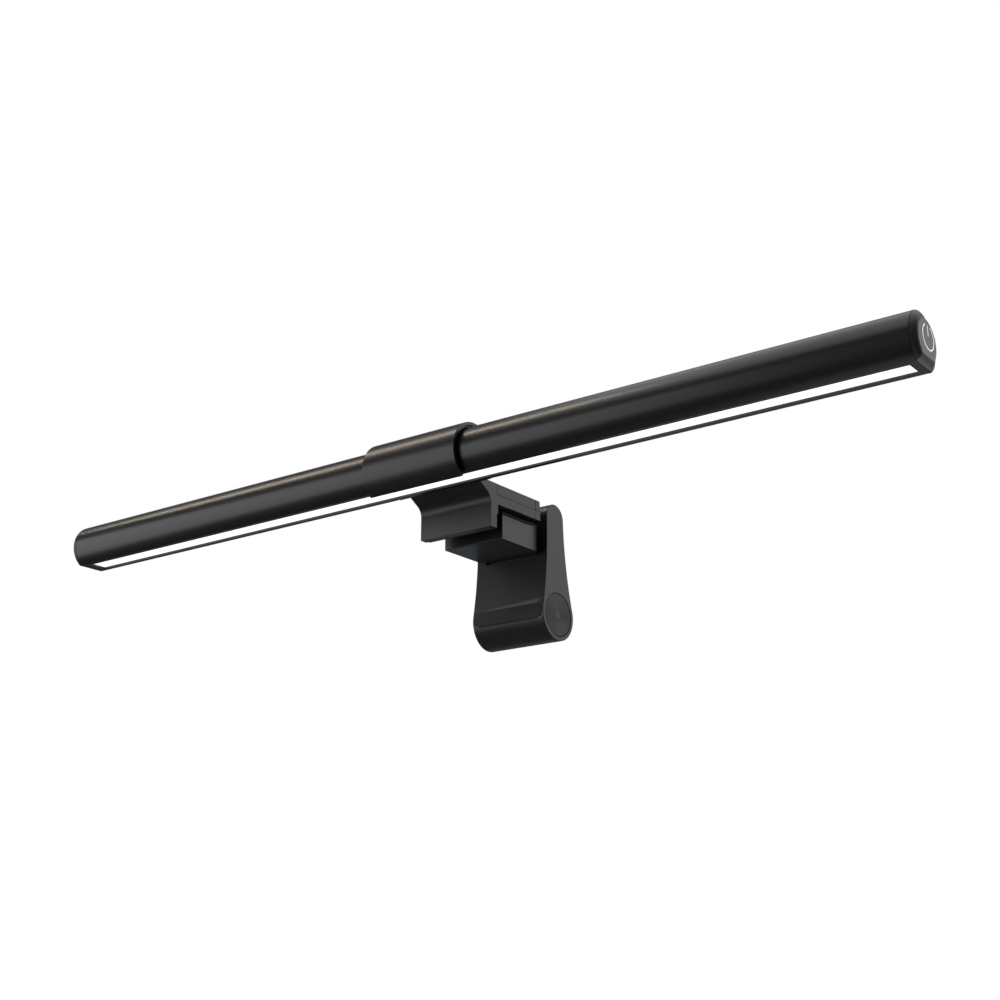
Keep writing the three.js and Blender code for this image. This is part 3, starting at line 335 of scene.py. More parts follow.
def d_section(radius, flat, corner, count=120):
    """The bar's section about its axis: an arc closed by a flat, with the two corners rounded."""
    reach = math.sqrt((radius - corner) ** 2 - (flat + corner) ** 2)
    lift = math.degrees(math.atan2(flat + corner, reach))
    y, z = AXIS
    right = arc((y + reach, z + flat + corner), corner, -90, lift, 5)
    left = arc((y - reach, z + flat + corner), corner, 180 - lift, 270, 5)
    return right + arc(AXIS, radius, lift, 180 - lift, count)[1:-1] + left


housing = prism("housing", d_section(RADIUS, FLAT, CORNER), tube_low.x, tube_high.x)
floor_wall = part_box("diffuser")[0].z - GAP
bore_section = d_section(RADIUS - WALL, floor_wall - AXIS[1], CORNER)
bore = prism("bore", bore_section, tube_low.x - MM, tube_high.x + MM)
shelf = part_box("led_board")[1].z + GAP
web_half = RADIUS - WALL / 2
web = brick("web", (tube_low.x, AXIS[0] - web_half, shelf), (tube_high.x, AXIS[0] + web_half, shelf + WALL))
combine("DIFFERENCE", housing, bore)
combine("UNION", housing, web)
window = brick(
    "window",
    (tube_low.x + WINDOW_MARGIN, AXIS[0] - WINDOW_WIDTH / 2, tube_low.z - MM),
    (tube_high.x - WINDOW_MARGIN, AXIS[0] + WINDOW_WIDTH / 2, floor_wall + 0.5 * MM),
)
combine("DIFFERENCE", housing, window)
soften(housing, 0.12 * MM)
bezel_low, bezel_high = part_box("usb_bezel")
port_low = (bezel_low.x - GAP, AXIS[0], bezel_low.z - GAP)
port = brick("port", port_low, (bezel_high.x + GAP, 1, bezel_high.z + GAP))
combine("DIFFERENCE", housing, port)
shade(housing)
bar_black = anodised("anodised_bar", 0.3)
give(housing, bar_black, "light_bar", "anodised_black", "bar_housing")

# ---------------------------------------------------------------- optics and electronics
# An LED board held under the web shines down a white trough onto an opal acrylic strip. A driver
# board and a touch board sit in the upper chamber. Only the strip shows, lit evenly from behind.


def opal():
    paint = Paint("opal_lit", Roughness=0.35, Emission_Strength=1.0)
    cloud = paint.noise(60, 2)
    paint.set(Base_Color=paint.mix(cloud, (0.93, 0.93, 0.92), (0.96, 0.96, 0.96)))
    return paint.set(Emission_Color=paint.mix(cloud, (1, 0.985, 0.965), (1, 1, 1))).material


def moulded(name, dark, light, roughness, grain_size=0.35, depth=0.012, **surface):
    """An injection-moulded plastic: a fine spark-eroded grain and slight mottling."""
    paint = Paint(name, IOR=1.46, **surface)
    grain = paint.noise(1 / (grain_size * MM), 3)
    cloud = paint.noise(45, 2)
    paint.set(Base_Color=paint.mix(grain * 0.6 + cloud * 0.4, dark, light))
    paint.set(Roughness=grain * 0.12 + (roughness - 0.06))
    return paint.set(Normal=paint.bump(grain, depth * MM, 0.6)).material


def solder_mask():
    paint = Paint("solder_mask", Roughness=0.35)
    cells = {"Vector": paint.place(), "Scale": 700}
    copper = paint.node("ShaderNodeTexVoronoi", {"feature": "DISTANCE_TO_EDGE"}, cells)
    line = copper > 0.06
    paint.set(Base_Color=paint.mix(line, (0.03, 0.16, 0.08), (0.012, 0.07, 0.04)))
    return paint.set(Normal=paint.bump(line, 0.02 * MM)).material


dress(opal(), "diffuser")
dress(moulded("white_mask", (0.8, 0.8, 0.77), (0.88, 0.88, 0.85), 0.4), "led_board")
dress(moulded("white_trough", (0.85, 0.85, 0.83), (0.92, 0.92, 0.9), 0.3), "reflector")
dress(solder_mask(), "driver_board", "touch_board")

# ---------------------------------------------------------------- inlet
# The USB-C inlet is a drawn steel shell on the driver board. A small moulded frame closes the hole
# round it, flush with the tube.


def metal(name, dark, light, roughness, scale=1500, stretch=(1, 1, 1)):
    """Bare or plated steel: fine tool marks that shift the gloss more than the colour."""
    paint = Paint(name, Metallic=1)
    marks = paint.noise(scale, 4, stretch)
    paint.set(Base_Color=paint.mix(marks, dark, light))
    paint.set(Roughness=marks * 0.15 + (roughness - 0.07))
    return paint.set(Normal=paint.bump(marks, 0.004 * MM, 0.5)).material


zinc = metal("zinc_steel", (0.42, 0.43, 0.44), (0.62, 0.63, 0.64), 0.3)
smooth_black = moulded("smooth_black", (0.012, 0.012, 0.013), (0.02, 0.02, 0.021), 0.38, 0.6, 0.004)
dress(zinc, "usb_c_socket")
dress(smooth_black, "usb_bezel")

# ---------------------------------------------------------------- end caps
# Each cap is a moulded plug with a spigot in the tube. The power end is a chamfered nose screwed on
# under its touch plate; the other end is a thin pressed-in lid with a rounded rim.
CHAMFER_ROUND = 3.7 * MM
CHAMFER_FLAT = 3.25 * MM
LEFT_RIM = 0.9 * MM
LEFT_STEPS = 6
SEAM = 0.08 * MM
SPIGOT_GAP = 0.15 * MM
SPIGOT_LENGTH = 6 * MM
SPIGOT_ANGLE = 11
shell_black = moulded("shell_black", (0.008, 0.008, 0.0082), (0.014, 0.014, 0.0142), 0.36)


def cap_ring(x, inset_round, inset_flat, corner):
    return x, d_section(RADIUS - inset_round, FLAT + inset_flat, corner)


def spigot(x0, x1):
    """The plug of a cap, which fills the tube above its web."""
    section = arc(AXIS, RADIUS - WALL - SPIGOT_GAP, SPIGOT_ANGLE, 180 - SPIGOT_ANGLE, 40)
    return prism("spigot", section, x0, x1)


face_low, face_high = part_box("touch_face")
nose_low = tube_high.x
nose_length = face_high.x - nose_low
plate_share = (face_low.x - nose_low) / nose_length
rings = [
    cap_ring(nose_low + 0.02 * MM, 0.14 * MM, 0.14 * MM, 0.35 * MM),
    cap_ring(nose_low + SEAM, 0.13 * MM, 0.13 * MM, 0.35 * MM),
    cap_ring(nose_low + SEAM + 0.02 * MM, 0.08 * MM, 0.06 * MM, 0.4 * MM),
    cap_ring(nose_low + SEAM + 0.1 * MM, 0.12 * MM, 0.1 * MM, 0.4 * MM),
]
for share in (0.3, 0.5, plate_share):
    x = nose_low + share * nose_length - 0.02 * MM
    rings.append(cap_ring(x, share * CHAMFER_ROUND, share * CHAMFER_FLAT, CORNER))
nose = loft("power_end_cap", rings)
combine("UNION", nose, spigot(nose_low - SPIGOT_LENGTH, nose_low + 0.3 * MM))
pocket_section = d_section(RADIUS - CHAMFER_ROUND - 0.5 * MM, FLAT + CHAMFER_FLAT + 0.5 * MM, CORNER)
combine("DIFFERENCE", nose, prism("pocket", pocket_section, nose_low + 0.65 * MM, 1))
shade(nose, 12)
give(nose, shell_black, "light_bar", "shell_plastic", "right_end_cap")

lid_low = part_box("left_end_cap")[0]
rings = []
for step in range(LEFT_STEPS + 1):
    turn = math.radians(90 * step / LEFT_STEPS)
    inset = LEFT_RIM * (1 - math.sin(turn)) + 0.01 * MM
    rings.append(cap_ring(lid_low.x + LEFT_RIM * (1 - math.cos(turn)), inset, inset, CORNER))
for back, inset in ((SEAM + 0.08 * MM, 0.01), (SEAM, 0.1), (SEAM - 0.01 * MM, 0.3), (0.01 * MM, 0.3)):
    rings.append(cap_ring(tube_low.x - back, inset * MM, inset * MM, CORNER))
lid = loft("left_end_lid", rings)
combine("UNION", lid, spigot(tube_low.x - 0.5 * MM, tube_low.x + SPIGOT_LENGTH))
shade(lid)
give(lid, shell_black, "light_bar", "shell_plastic", "left_end_cap")

# ---------------------------------------------------------------- touch plate
# A satin grey plate closes the nose. It carries the power sign as white inlays flush with its face, given a
# painted
# glow so they show bright: an open ring, and a short bar in the ring's gap.
ring_low, ring_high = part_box("power_icon_ring")
bar_low, bar_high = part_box("power_icon_bar")
STROKE = bar_high.y - bar_low.y
SIGN_RADIUS = (ring_high.y - ring_low.y) / 2 - STROKE / 2
SIGN_CENTRE = ((ring_low.y + ring_high.y) / 2, ring_low.z + SIGN_RADIUS + STROKE / 2)
SIGN_GAP = 28.5
SIGN_PLAY = 0.03 * MM


def sign_ring(grow):
    """Outline of the open ring with round ends, grown all round."""
    half_width = STROKE / 2 + grow
    start, end = 90 + SIGN_GAP, 450 - SIGN_GAP
    outer = arc(SIGN_CENTRE, SIGN_RADIUS + half_width, start, end, 90)
    inner = arc(SIGN_CENTRE, SIGN_RADIUS - half_width, end, start, 90)
    first, last = (arc(SIGN_CENTRE, SIGN_RADIUS, a, a, 1)[0] for a in (start, end))
    end_round = arc(last, half_width, end, end + 180, 8)[1:-1]
    start_round = arc(first, half_width, start + 180, start + 360, 8)[1:-1]
    return outer + end_round + inner + start_round


def sign_bar(grow):
    half_width = STROKE / 2 + grow
    y = (bar_low.y + bar_high.y) / 2
    top = arc((y, bar_high.z - STROKE / 2), half_width, 0, 180, 8)
    return top + arc((y, bar_low.z + STROKE / 2), half_width, 180, 360, 8)


def satin_plate():
    paint = Paint("touch_plate", Metallic=0.15, IOR=1.5)
    grain = paint.noise(4200, 3)
    cloud = paint.noise(120, 2)
    paint.set(Base_Color=paint.mix(grain * 0.5 + cloud * 0.5, (0.1, 0.1, 0.102), (0.15, 0.15, 0.153)))
    paint.set(Roughness=grain * 0.1 + 0.4)
    return paint.set(Normal=paint.bump(grain, 0.004 * MM, 0.4)).material


rings = []
steps = ((plate_share + 0.02, 0.04), (plate_share + 0.05, 0), (0.975, 0), (0.995, 0.06), (1, 0.16))
for share, edge in steps:
    x = nose_low + share * nose_length
    rings.append(cap_ring(x, share * CHAMFER_ROUND + edge * MM, share * CHAMFER_FLAT + edge * MM, CORNER))
plate = loft("touch_plate", rings)
for outline in (sign_ring(SIGN_PLAY), sign_bar(SIGN_PLAY)):
    combine("DIFFERENCE", plate, prism("recess", outline, face_high.x - 0.25 * MM, face_high.x + MM))
shade(plate, 12)
give(plate, satin_plate(), "light_bar", "touch_plate", "touch_face")
# Painted glow: an even emission brightens the white inlays of the power sign.
sign_white_painted_glow = moulded(
    "sign_white_painted_glow",
    (0.86, 0.86, 0.86),
    (0.93, 0.93, 0.93),
    0.4,
    grain_size=0.2,
    depth=0.002,
    Emission_Color=(1, 1, 1, 1),
    Emission_Strength=0.6,
)
signs = (("power_ring", sign_ring(0), "power_icon_ring"), ("power_bar", sign_bar(0), "power_icon_bar"))
for name, outline, node in signs:
    sign = prism(name, outline, face_high.x - 0.24 * MM, face_high.x)
    give(sign, sign_white_painted_glow, "light_bar", "icon_white", node)

# ---------------------------------------------------------------- collar
# A C-shaped aluminium sleeve grips the bar and leaves its window free. A thin acetal liner, set back a
# little from the sleeve's ends, lets the bar turn stiffly inside it.
COLLAR_FRONT = 236.5
COLLAR_REAR = -33
sleeve_low, sleeve_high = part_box("collar")
liner_low, liner_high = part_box("collar_liner")
SLEEVE_OUTER = sleeve_high.z - AXIS[1]
SLEEVE_WALL = 1.6 * MM
LINER_OUTER = liner_high.z - AXIS[1]
LINER_WALL = 0.5 * MM
LINER_SETBACK = 2


def open_ring(outer, wall, setback, count=110):
    """The collar's section: a ring left open below, its ends set back by some degrees."""
    start, end = COLLAR_REAR + setback, COLLAR_FRONT - setback
    return arc(AXIS, outer, start, end, count) + arc(AXIS, outer - wall, end, start, count)


sleeve = prism("collar_sleeve", open_ring(SLEEVE_OUTER, SLEEVE_WALL, 0), sleeve_low.x, sleeve_high.x)
soften(sleeve, 0.3 * MM)
give(sleeve, anodised("anodised_collar", 0.31), "bracket", "anodised_black", "collar")
liner = prism("liner", open_ring(LINER_OUTER, LINER_WALL, LINER_SETBACK), liner_low.x, liner_high.x)
soften(liner, 0.08 * MM)
give(liner, smooth_black, "bracket", "pom_black", "collar_liner")

# ---------------------------------------------------------------- bracket body
# One moulding makes the neck under the collar, the lip that hangs in front of the screen and the arm
# that rests on its top edge. The arm is a channel, closed by a cover and by the hinge end.
LIP_FILLET = 5.5 * MM
LIP_SLOPE = 30
SLOPE_Z = 2.82 * MM
NECK_FILLET = 3 * MM
LIP_BACK = -3.9 * MM
LIP_FRONT = -8.8 * MM
LIP_CHAMFER = 0.35 * MM
PAD_RECESS = 0.8 * MM
REST_REAR = 3.7 * MM
RELIEF = 0.15 * MM
RELIEF_RUN = 0.35 * MM
ARM_WALL = 2.4 * MM
body_low, body_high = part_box("bracket_body")
cover_low, cover_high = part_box("arm_top_cover")
pad_low, pad_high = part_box("lip_pad")
ARM_TOP = cover_high.z
SPLIT = 4.25 * MM
COVER_FRONT = cover_low.y - GAP
COVER_LEDGE = 3 * MM
SADDLE = SLEEVE_OUTER + 0.12 * MM


def bracket_outline():
    """The lip, rest, neck and saddle from the side. The lip's slope starts where it meets the saddle."""
    run = math.tan(math.radians(LIP_SLOPE))
    drop = SLOPE_Z - AXIS[1] + run * (LIP_FRONT - AXIS[0])
    a, b, c = 1 + run * run, -2 * run * drop, drop * drop - SADDLE**2
    u = (-b + math.sqrt(b * b - 4 * a * c)) / (2 * a)
    slope_angle = math.degrees(math.atan2(drop - run * u, u))
    reach = LIP_FILLET * math.tan(math.radians((90 - LIP_SLOPE) / 2))
    lip_curve = arc((LIP_FRONT - LIP_FILLET, SLOPE_Z - reach), LIP_FILLET, 90 - LIP_SLOPE, 0, 16)
    neck_z = ARM_TOP + NECK_FILLET
    neck_y = AXIS[0] + math.sqrt((SADDLE + NECK_FILLET) ** 2 - (neck_z - AXIS[1]) ** 2)
    neck_angle = math.degrees(math.atan2(neck_z - AXIS[1], neck_y - AXIS[0]))
    neck_curve = arc((neck_y, neck_z), NECK_FILLET, 270, 180 + neck_angle, 12)
    back = LIP_BACK - PAD_RECESS
    bottom = body_low.z
    corners = [
        (LIP_FRONT, bottom),
        (back - LIP_CHAMFER, bottom),
        (back, bottom + LIP_CHAMFER),
        (back, pad_high.z + GAP),
        (LIP_BACK, pad_high.z + GAP),
        (LIP_BACK, 0),
        (REST_REAR, 0),
        (REST_REAR + RELIEF_RUN, RELIEF),
        (body_high.y, RELIEF),
        (body_high.y, SPLIT),
        (COVER_FRONT, SPLIT),
        (COVER_FRONT, ARM_TOP),
    ]
    return lip_curve + corners + neck_curve + arc(AXIS, SADDLE, neck_angle, slope_angle, 20)[1:]


hook = prism("hook", bracket_outline(), body_low.x, body_high.x)
channel_low = (body_low.x + ARM_WALL, COVER_FRONT + COVER_LEDGE, ARM_WALL)
channel = brick("channel", channel_low, (body_high.x - ARM_WALL, 1, 1))
combine("DIFFERENCE", hook, channel)
soften(hook, 0.16 * MM)
give(hook, shell_black, "bracket", "shell_plastic", "bracket_body")

# ---------------------------------------------------------------- arm cover and lip pad
# The cover is a shallow tray screwed down over the arm's channel. The silicone pad is glued into the
# back of the lip, so only rubber touches the screen's frame.
COVER_TOP = 1.8 * MM
cover = brick("arm_cover", (cover_low.x, cover_low.y, SPLIT + GAP), cover_high)
hollow_low = (cover_low.x + ARM_WALL, cover_low.y + COVER_LEDGE, cover_low.z - MM)
hollow = brick("hollow", hollow_low, (cover_high.x - ARM_WALL, 1, cover_high.z - COVER_TOP))
combine("DIFFERENCE", cover, hollow)
soften(cover, 0.12 * MM)
give(cover, shell_black, "bracket", "shell_plastic", "arm_top_cover")


def silicone():
    """Moulded silicone rubber: soft, dull and very slightly pebbled."""
    paint = Paint("silicone", IOR=1.42)
    pebble = paint.node("ShaderNodeTexVoronoi", {}, {"Vector": paint.place(), "Scale": 2600})
    cloud = paint.noise(80, 2)
    paint.set(Base_Color=paint.mix(pebble * 0.4 + cloud * 0.6, (0.012, 0.012, 0.0125), (0.02, 0.02, 0.0205)))
    paint.set(Roughness=pebble * 0.1 + 0.6)
    return paint.set(Normal=paint.bump(pebble, 0.01 * MM, 0.5)).material


rubber = silicone()
hook_pad = brick("hook_pad", pad_low, pad_high)
soften(hook_pad, 0.12 * MM)
give(hook_pad, rubber, "bracket", "silicone_black", "lip_pad")

# ---------------------------------------------------------------- hinge end
# A moulded block closes the arm's rear. Its tongue reaches back into the clamp's leg and ends in the
# knuckle that the hinge pin passes through.
PIN_RADIUS = 2 * MM
pin_low, pin_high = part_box("hinge_pin")
PIVOT = ((pin_low.y + pin_high.y) / 2, (pin_low.z + pin_high.z) / 2)
end_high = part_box("hinge_end")[1]
washer_low, washer_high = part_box("hinge_washer_right")
KNUCKLE = end_high.y - PIVOT[0]
ARM_REAR = 28 * MM
STEP = 0.3 * MM
TONGUE_HALF = washer_low.x - GAP
TONGUE_THICK = 6.8 * MM
REAR_ROUND = 0.6 * MM
end_front = body_high.y + GAP
upper_rear = ARM_REAR - STEP
end_outline = [(end_front, RELIEF), (ARM_REAR, RELIEF), (ARM_REAR, SPLIT), (upper_rear, SPLIT)]
end_outline += arc((upper_rear - REAR_ROUND, ARM_TOP - REAR_ROUND), REAR_ROUND, 0, 90, 6)
end_outline.append((end_front, ARM_TOP))
hinge_block = prism("hinge_block", end_outline, body_low.x, body_high.x)
soften(hinge_block, 0.12 * MM)
for side in (-1, 1):
    x0, x1 = sorted((side * (body_high.x - 0.2 * MM), side * 1))
    combine("DIFFERENCE", hinge_block, brick("seam", (x0, 0, SPLIT - 0.06 * MM), (x1, 1, SPLIT + 0.16 * MM)))
plug_low = (body_low.x + ARM_WALL + GAP, end_front - 4 * MM, ARM_WALL + GAP)
plug = brick("plug", plug_low, (-plug_low[0], end_front + MM, ARM_TOP - 1.9 * MM))
half_thick = TONGUE_THICK / 2
turn = math.degrees(math.asin(half_thick / KNUCKLE))
root = ARM_REAR - 1.5 * MM
tongue_outline = arc(PIVOT, KNUCKLE, turn - 180, 180 - turn, 48)
tongue_outline += [(root, PIVOT[1] + half_thick), (root, PIVOT[1] - half_thick)]
tongue = prism("tongue", tongue_outline, -TONGUE_HALF, TONGUE_HALF)
soften(tongue, 0.2 * MM)
combine("UNION", hinge_block, plug, tongue)
combine("DIFFERENCE", hinge_block, prism("pin_hole", circle(PIVOT, PIN_RADIUS + 0.08 * MM, 36), -1, 1))
shade(hinge_block)
give(hinge_block, shell_black, "bracket", "shell_plastic", "hinge_end")

# ---------------------------------------------------------------- leg body
# The rear clamp's leg is a moulded housing that swings on the hinge pin. It is slotted at the top for
# the tongue, bored through at the foot for the counterweight, and open at the back under its cover.
TOP_RADIUS = 6.6 * MM
FOOT_RADIUS = 11.9 * MM
BACK_RADIUS = 170 * MM
FLARE_RADIUS = 180 * MM
FLARE = 9.6
weight_low, weight_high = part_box("counterweight")
FOOT = ((weight_low.y + weight_high.y) / 2, (weight_low.z + weight_high.z) / 2)
WEIGHT_RADIUS = (weight_high.y - weight_low.y) / 2
leg_low, leg_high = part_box("leg_body")
door_low, door_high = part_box("leg_back_cover")
LEG_WALL = 2.2 * MM
DOOR_THICK = 1.8 * MM


def leg_outline(inset=0):
    """The leg from the side: round top, hollow back, round foot, and a front that flares forward."""
    top, foot = TOP_RADIUS - inset, FOOT_RADIUS - inset
    apart = Vector((FOOT[0] - PIVOT[0], FOOT[1] - PIVOT[1]))
    length = apart.length
    to_top, to_foot = BACK_RADIUS + TOP_RADIUS, BACK_RADIUS + FOOT_RADIUS
    along = (to_top**2 - to_foot**2 + length**2) / (2 * length)
    out = math.sqrt(to_top**2 - along**2)
    unit = apart / length
    sweep = (PIVOT[0] + unit.x * along - unit.y * out, PIVOT[1] + unit.y * along + unit.x * out)
    at_top = math.degrees(math.atan2(sweep[1] - PIVOT[1], sweep[0] - PIVOT[0]))
    at_foot = math.degrees(math.atan2(sweep[1] - FOOT[1], sweep[0] - FOOT[0]))
    lean = math.radians(FLARE)
    touch = (FOOT[0] - FOOT_RADIUS * math.cos(lean), FOOT[1] + FOOT_RADIUS * math.sin(lean))
    front = PIVOT[0] - TOP_RADIUS
    kink = touch[1] + (front - touch[0]) / math.tan(lean)
    bend = (front - FLARE_RADIUS, kink + FLARE_RADIUS * math.tan(lean / 2))
    points = arc(PIVOT, top, 180, at_top, 36)
    points += arc(sweep, BACK_RADIUS + inset, at_top + 180, at_foot + 180, 24)[1:]
    points += arc(FOOT, foot, at_foot, -180 - FLARE, 48)[1:]
    return points + arc(bend, FLARE_RADIUS + inset, -FLARE, 0, 10)


block_low, block_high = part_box("clamp_block")
shoe_low, shoe_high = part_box("leg_pad")
SLOT_HALF = washer_high.x + GAP
CHEEK_THICK = 3 * MM
NECK_HALF = block_high.x - 1.9 * MM
NECK_SEAT = MM
NECK_SLOT = 0.9 * MM
NECK_STEP = 0.5 * MM
SEAT_PLAY = 0.15 * MM
SLOT_PLAY = 0.4 * MM
rib = door_low.z - GAP
leg = prism("leg", leg_outline(), leg_low.x, leg_high.x)
soften(leg, 0.28 * MM)
inside_half = leg_high.x - LEG_WALL
hollow = prism("hollow", leg_outline(LEG_WALL), -inside_half, inside_half)
combine("INTERSECT", hollow, brick("keep", (-1, -1, rib), (1, 1, 1)))
doorway = brick("doorway", (-inside_half, PIVOT[0], rib), (inside_half, 1, door_high.z + GAP))
combine("DIFFERENCE", leg, hollow, doorway)
for side in (-1, 1):
    x0, x1 = sorted((side * SLOT_HALF, side * (SLOT_HALF + CHEEK_THICK)))
    cheek = prism("cheek", leg_outline(LEG_WALL - GAP), x0, x1)
    combine("INTERSECT", cheek, brick("keep", (-1, -1, PIVOT[1] - 5 * MM), (1, PIVOT[0] + 2.6 * MM, 1)))
    combine("UNION", leg, cheek)
slot_reach = half_thick + SLOT_PLAY
slots = [
    brick("slot", (-SLOT_HALF, -1, PIVOT[1]), (SLOT_HALF, PIVOT[0] + slot_reach, 1)),
    brick("slot", (-SLOT_HALF, -1, PIVOT[1] - half_thick - 0.8 * MM), (SLOT_HALF, PIVOT[0], PIVOT[1] + MM)),
    prism("slot", circle(PIVOT, KNUCKLE + SLOT_PLAY, 45), -SLOT_HALF, SLOT_HALF),
    brick(
        "neck_seat",
        (-NECK_HALF - SEAT_PLAY, -1, block_low.z - NECK_SLOT),
        (NECK_HALF + SEAT_PLAY, PIVOT[0] - TOP_RADIUS + NECK_SEAT, block_high.z - NECK_STEP + SEAT_PLAY),
    ),
    prism("weight_bore", circle(FOOT, WEIGHT_RADIUS + 0.12 * MM, 120), -1, 1),
    prism("pin_seat", circle(PIVOT, PIN_RADIUS + GAP, 36), -pin_high.x, pin_high.x),
]
combine("DIFFERENCE", leg, *slots)


def shoe(outer, inner, grow):
    """A pad that follows the leg's front, cut to a rounded tablet seen from the front."""
    band = prism("band", leg_outline(outer), leg_low.x, leg_high.x)
    combine("DIFFERENCE", band, prism("core", leg_outline(inner), -1, 1))
    radius = (shoe_high.z - shoe_low.z) / 2 + grow
    z = (shoe_low.z + shoe_high.z) / 2
    reach = shoe_high.x + grow - radius
    right = arc((reach, z), radius, -90, 90, 20)
    left = arc((-reach, z), radius, 90, 270, 20)
    return combine("INTERSECT", band, prism_along_y("tablet", right + left, 0, FOOT[0] - 3 * MM))


combine("DIFFERENCE", leg, shoe(-2 * MM, PAD_RECESS, 0.03 * MM))
shade(leg)
give(leg, shell_black, "rear_clamp", "shell_plastic", "leg_body")
foot_pad = shoe(-0.2 * MM, PAD_RECESS - GAP, 0)
soften(foot_pad, 0.1 * MM, 50)
give(foot_pad, rubber, "rear_clamp", "silicone_black", "leg_pad")

# ---------------------------------------------------------------- leg back cover
# A curved plate fits between the leg's side walls, flush with its back. Two screws hold it, each sunk
# into a round boss behind the plate.
door = prism("leg_door", leg_outline(), door_low.x, door_high.x)
door_frame = brick("keep", (-1, PIVOT[0], door_low.z), (1, 1, door_high.z))
combine("DIFFERENCE", door, prism("core", leg_outline(DOOR_THICK), -1, 1))
combine("INTERSECT", door, door_frame)
soften(door, 0.15 * MM, 50)
SINK_RADIUS = 1.95 * MM
BOSS_RADIUS = 3 * MM
door_screws = ("back_cover_screw_upper", "back_cover_screw_lower")
for name in door_screws:
    low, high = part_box(name)
    z = (low.z + high.z) / 2
    sink = prism_along_y("sink", circle((0, z), SINK_RADIUS, 36), high.y - GAP, high.y + 20 * MM)
    boss = prism_along_y("boss", circle((0, z), BOSS_RADIUS, 40), high.y - 1.5 * MM, high.y + 3.2 * MM)
    combine("INTERSECT", boss, prism("core", leg_outline(0.4 * MM), -1, 1))
    combine("UNION", door, boss)
    combine("DIFFERENCE", door, sink)
shade(door)
give(door, shell_black, "rear_clamp", "shell_plastic", "leg_back_cover")

# ---------------------------------------------------------------- hinge pin, washers and counterweight
# A ground steel pin turns in the knuckle between two acetal washers. A steel slug fills the foot and
# swings the clamp shut by its weight. All of it stays inside the leg.
dress(zinc, "hinge_pin")
dress(smooth_black, "hinge_washer_left", "hinge_washer_right")
dress(metal("turned_slug", (0.3, 0.3, 0.31), (0.5, 0.5, 0.51), 0.4, 900, (0.1, 1, 1)), "counterweight")

# ---------------------------------------------------------------- foot discs
# A turned disc closes each end of the counterweight's bore. Fine rings run out from a plain hub, and a
# bright bevel runs round the rim.
RING_PITCH = 0.3 * MM
RING_DEPTH = 0.025 * MM
HUB = 2.4 * MM
disc_low, disc_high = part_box("leg_disc_right")


def disc_profile():
    """Half section of the disc as radius and depth below its face, from the rim's back to the hub."""
    rim = WEIGHT_RADIUS - 0.05 * MM
    thick = disc_high.x - disc_low.x
    points = [(rim, thick), (rim, 0.3 * MM), (rim - 0.1 * MM, 0.08 * MM), (rim - 0.3 * MM, 0)]
    count = int((rim - 0.5 * MM - HUB) / RING_PITCH)
    for i in range(count):
        radius = rim - 0.4 * MM - i * RING_PITCH
        points += [(radius, 0), (radius - RING_PITCH / 2, RING_DEPTH)]
    points += [(HUB + 0.1 * MM, 0), (HUB, 0.12 * MM)]
    return points + [(HUB - 0.1 * MM, 0.03 * MM), (0.6 * MM, 0.03 * MM)]


def turned(name, profile, face, side, count=96):
    """A turned solid about the foot's axis, from points given as radius and depth below its face."""
    return loft(name, [(face - side * depth, circle(FOOT, radius, count)) for radius, depth in profile])


def turned_steel():
    paint = Paint("turned_disc", Metallic=0.55, IOR=1.5)
    where = paint.node("ShaderNodeSeparateXYZ", {}, {"Vector": paint.place(move=(0, -FOOT[0], -FOOT[1]))})
    parts = where.socket.node.outputs
    y, z = Shade(paint, parts[1]), Shade(paint, parts[2])
    distance = (y * y + z * z) ** 0.5
    track = {"W": distance, "Scale": 5200, "Detail": 2}
    lines = paint.node("ShaderNodeTexNoise", {"noise_dimensions": "1D"}, track, "Fac")
    cloud = paint.noise(150, 2)
    paint.set(Base_Color=paint.mix(lines * 0.6 + cloud * 0.4, (0.022, 0.022, 0.0225), (0.04, 0.04, 0.0405)))
    paint.set(Roughness=lines * 0.12 + 0.34)
    return paint.set(Normal=paint.bump(lines, 0.006 * MM, 0.6)).material


disc_paint = turned_steel()
for side, node in ((-1, "leg_disc_left"), (1, "leg_disc_right")):
    disc = turned(node + "_face", disc_profile(), side * disc_high.x, side)
    shade(disc, 12)
    give(disc, disc_paint, "rear_clamp", "turned_disc", node)

# ---------------------------------------------------------------- clamp block
# The block swings up under the arm behind the screen. It is a moulded tray whose narrower neck is
# screwed into the leg's front. A silicone pad lies across its top, as far as a rise at the rear.
NECK_FRONT = PIVOT[0] - TOP_RADIUS - 2.2 * MM
BLOCK_LAND = 0.6 * MM
BLOCK_RAMP = 4.8 * MM
TRAY_WALL = 1.5 * MM
inlay_low, inlay_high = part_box("block_pad")
rebate = inlay_low.z - 0.05 * MM
ramp_foot = NECK_FRONT - BLOCK_RAMP
block_outline = [
    (block_low.y, block_low.z),
    (NECK_FRONT, block_low.z),
    (NECK_FRONT, block_high.z),
    (NECK_FRONT - BLOCK_LAND, block_high.z),
    (ramp_foot, rebate),
    (block_low.y, rebate),
]
clamp = prism("block", block_outline, block_low.x, block_high.x)
soften(clamp, 0.3 * MM)
neck_low = (-NECK_HALF, NECK_FRONT - MM, block_low.z)
neck = brick("neck", neck_low, (NECK_HALF, block_high.y, block_high.z - NECK_STEP))
combine("UNION", clamp, neck)
tray_low = (block_low.x + TRAY_WALL, block_low.y + TRAY_WALL, block_low.z + TRAY_WALL)
tray = brick("tray", tray_low, (-tray_low[0], ramp_foot - 0.2 * MM, 0))
combine("DIFFERENCE", clamp, tray)
shade(clamp)
block_black = moulded("block_black", (0.008, 0.008, 0.0082), (0.014, 0.014, 0.0142), 0.32, depth=0.004)
give(clamp, block_black, "rear_clamp", "shell_plastic", "clamp_block")
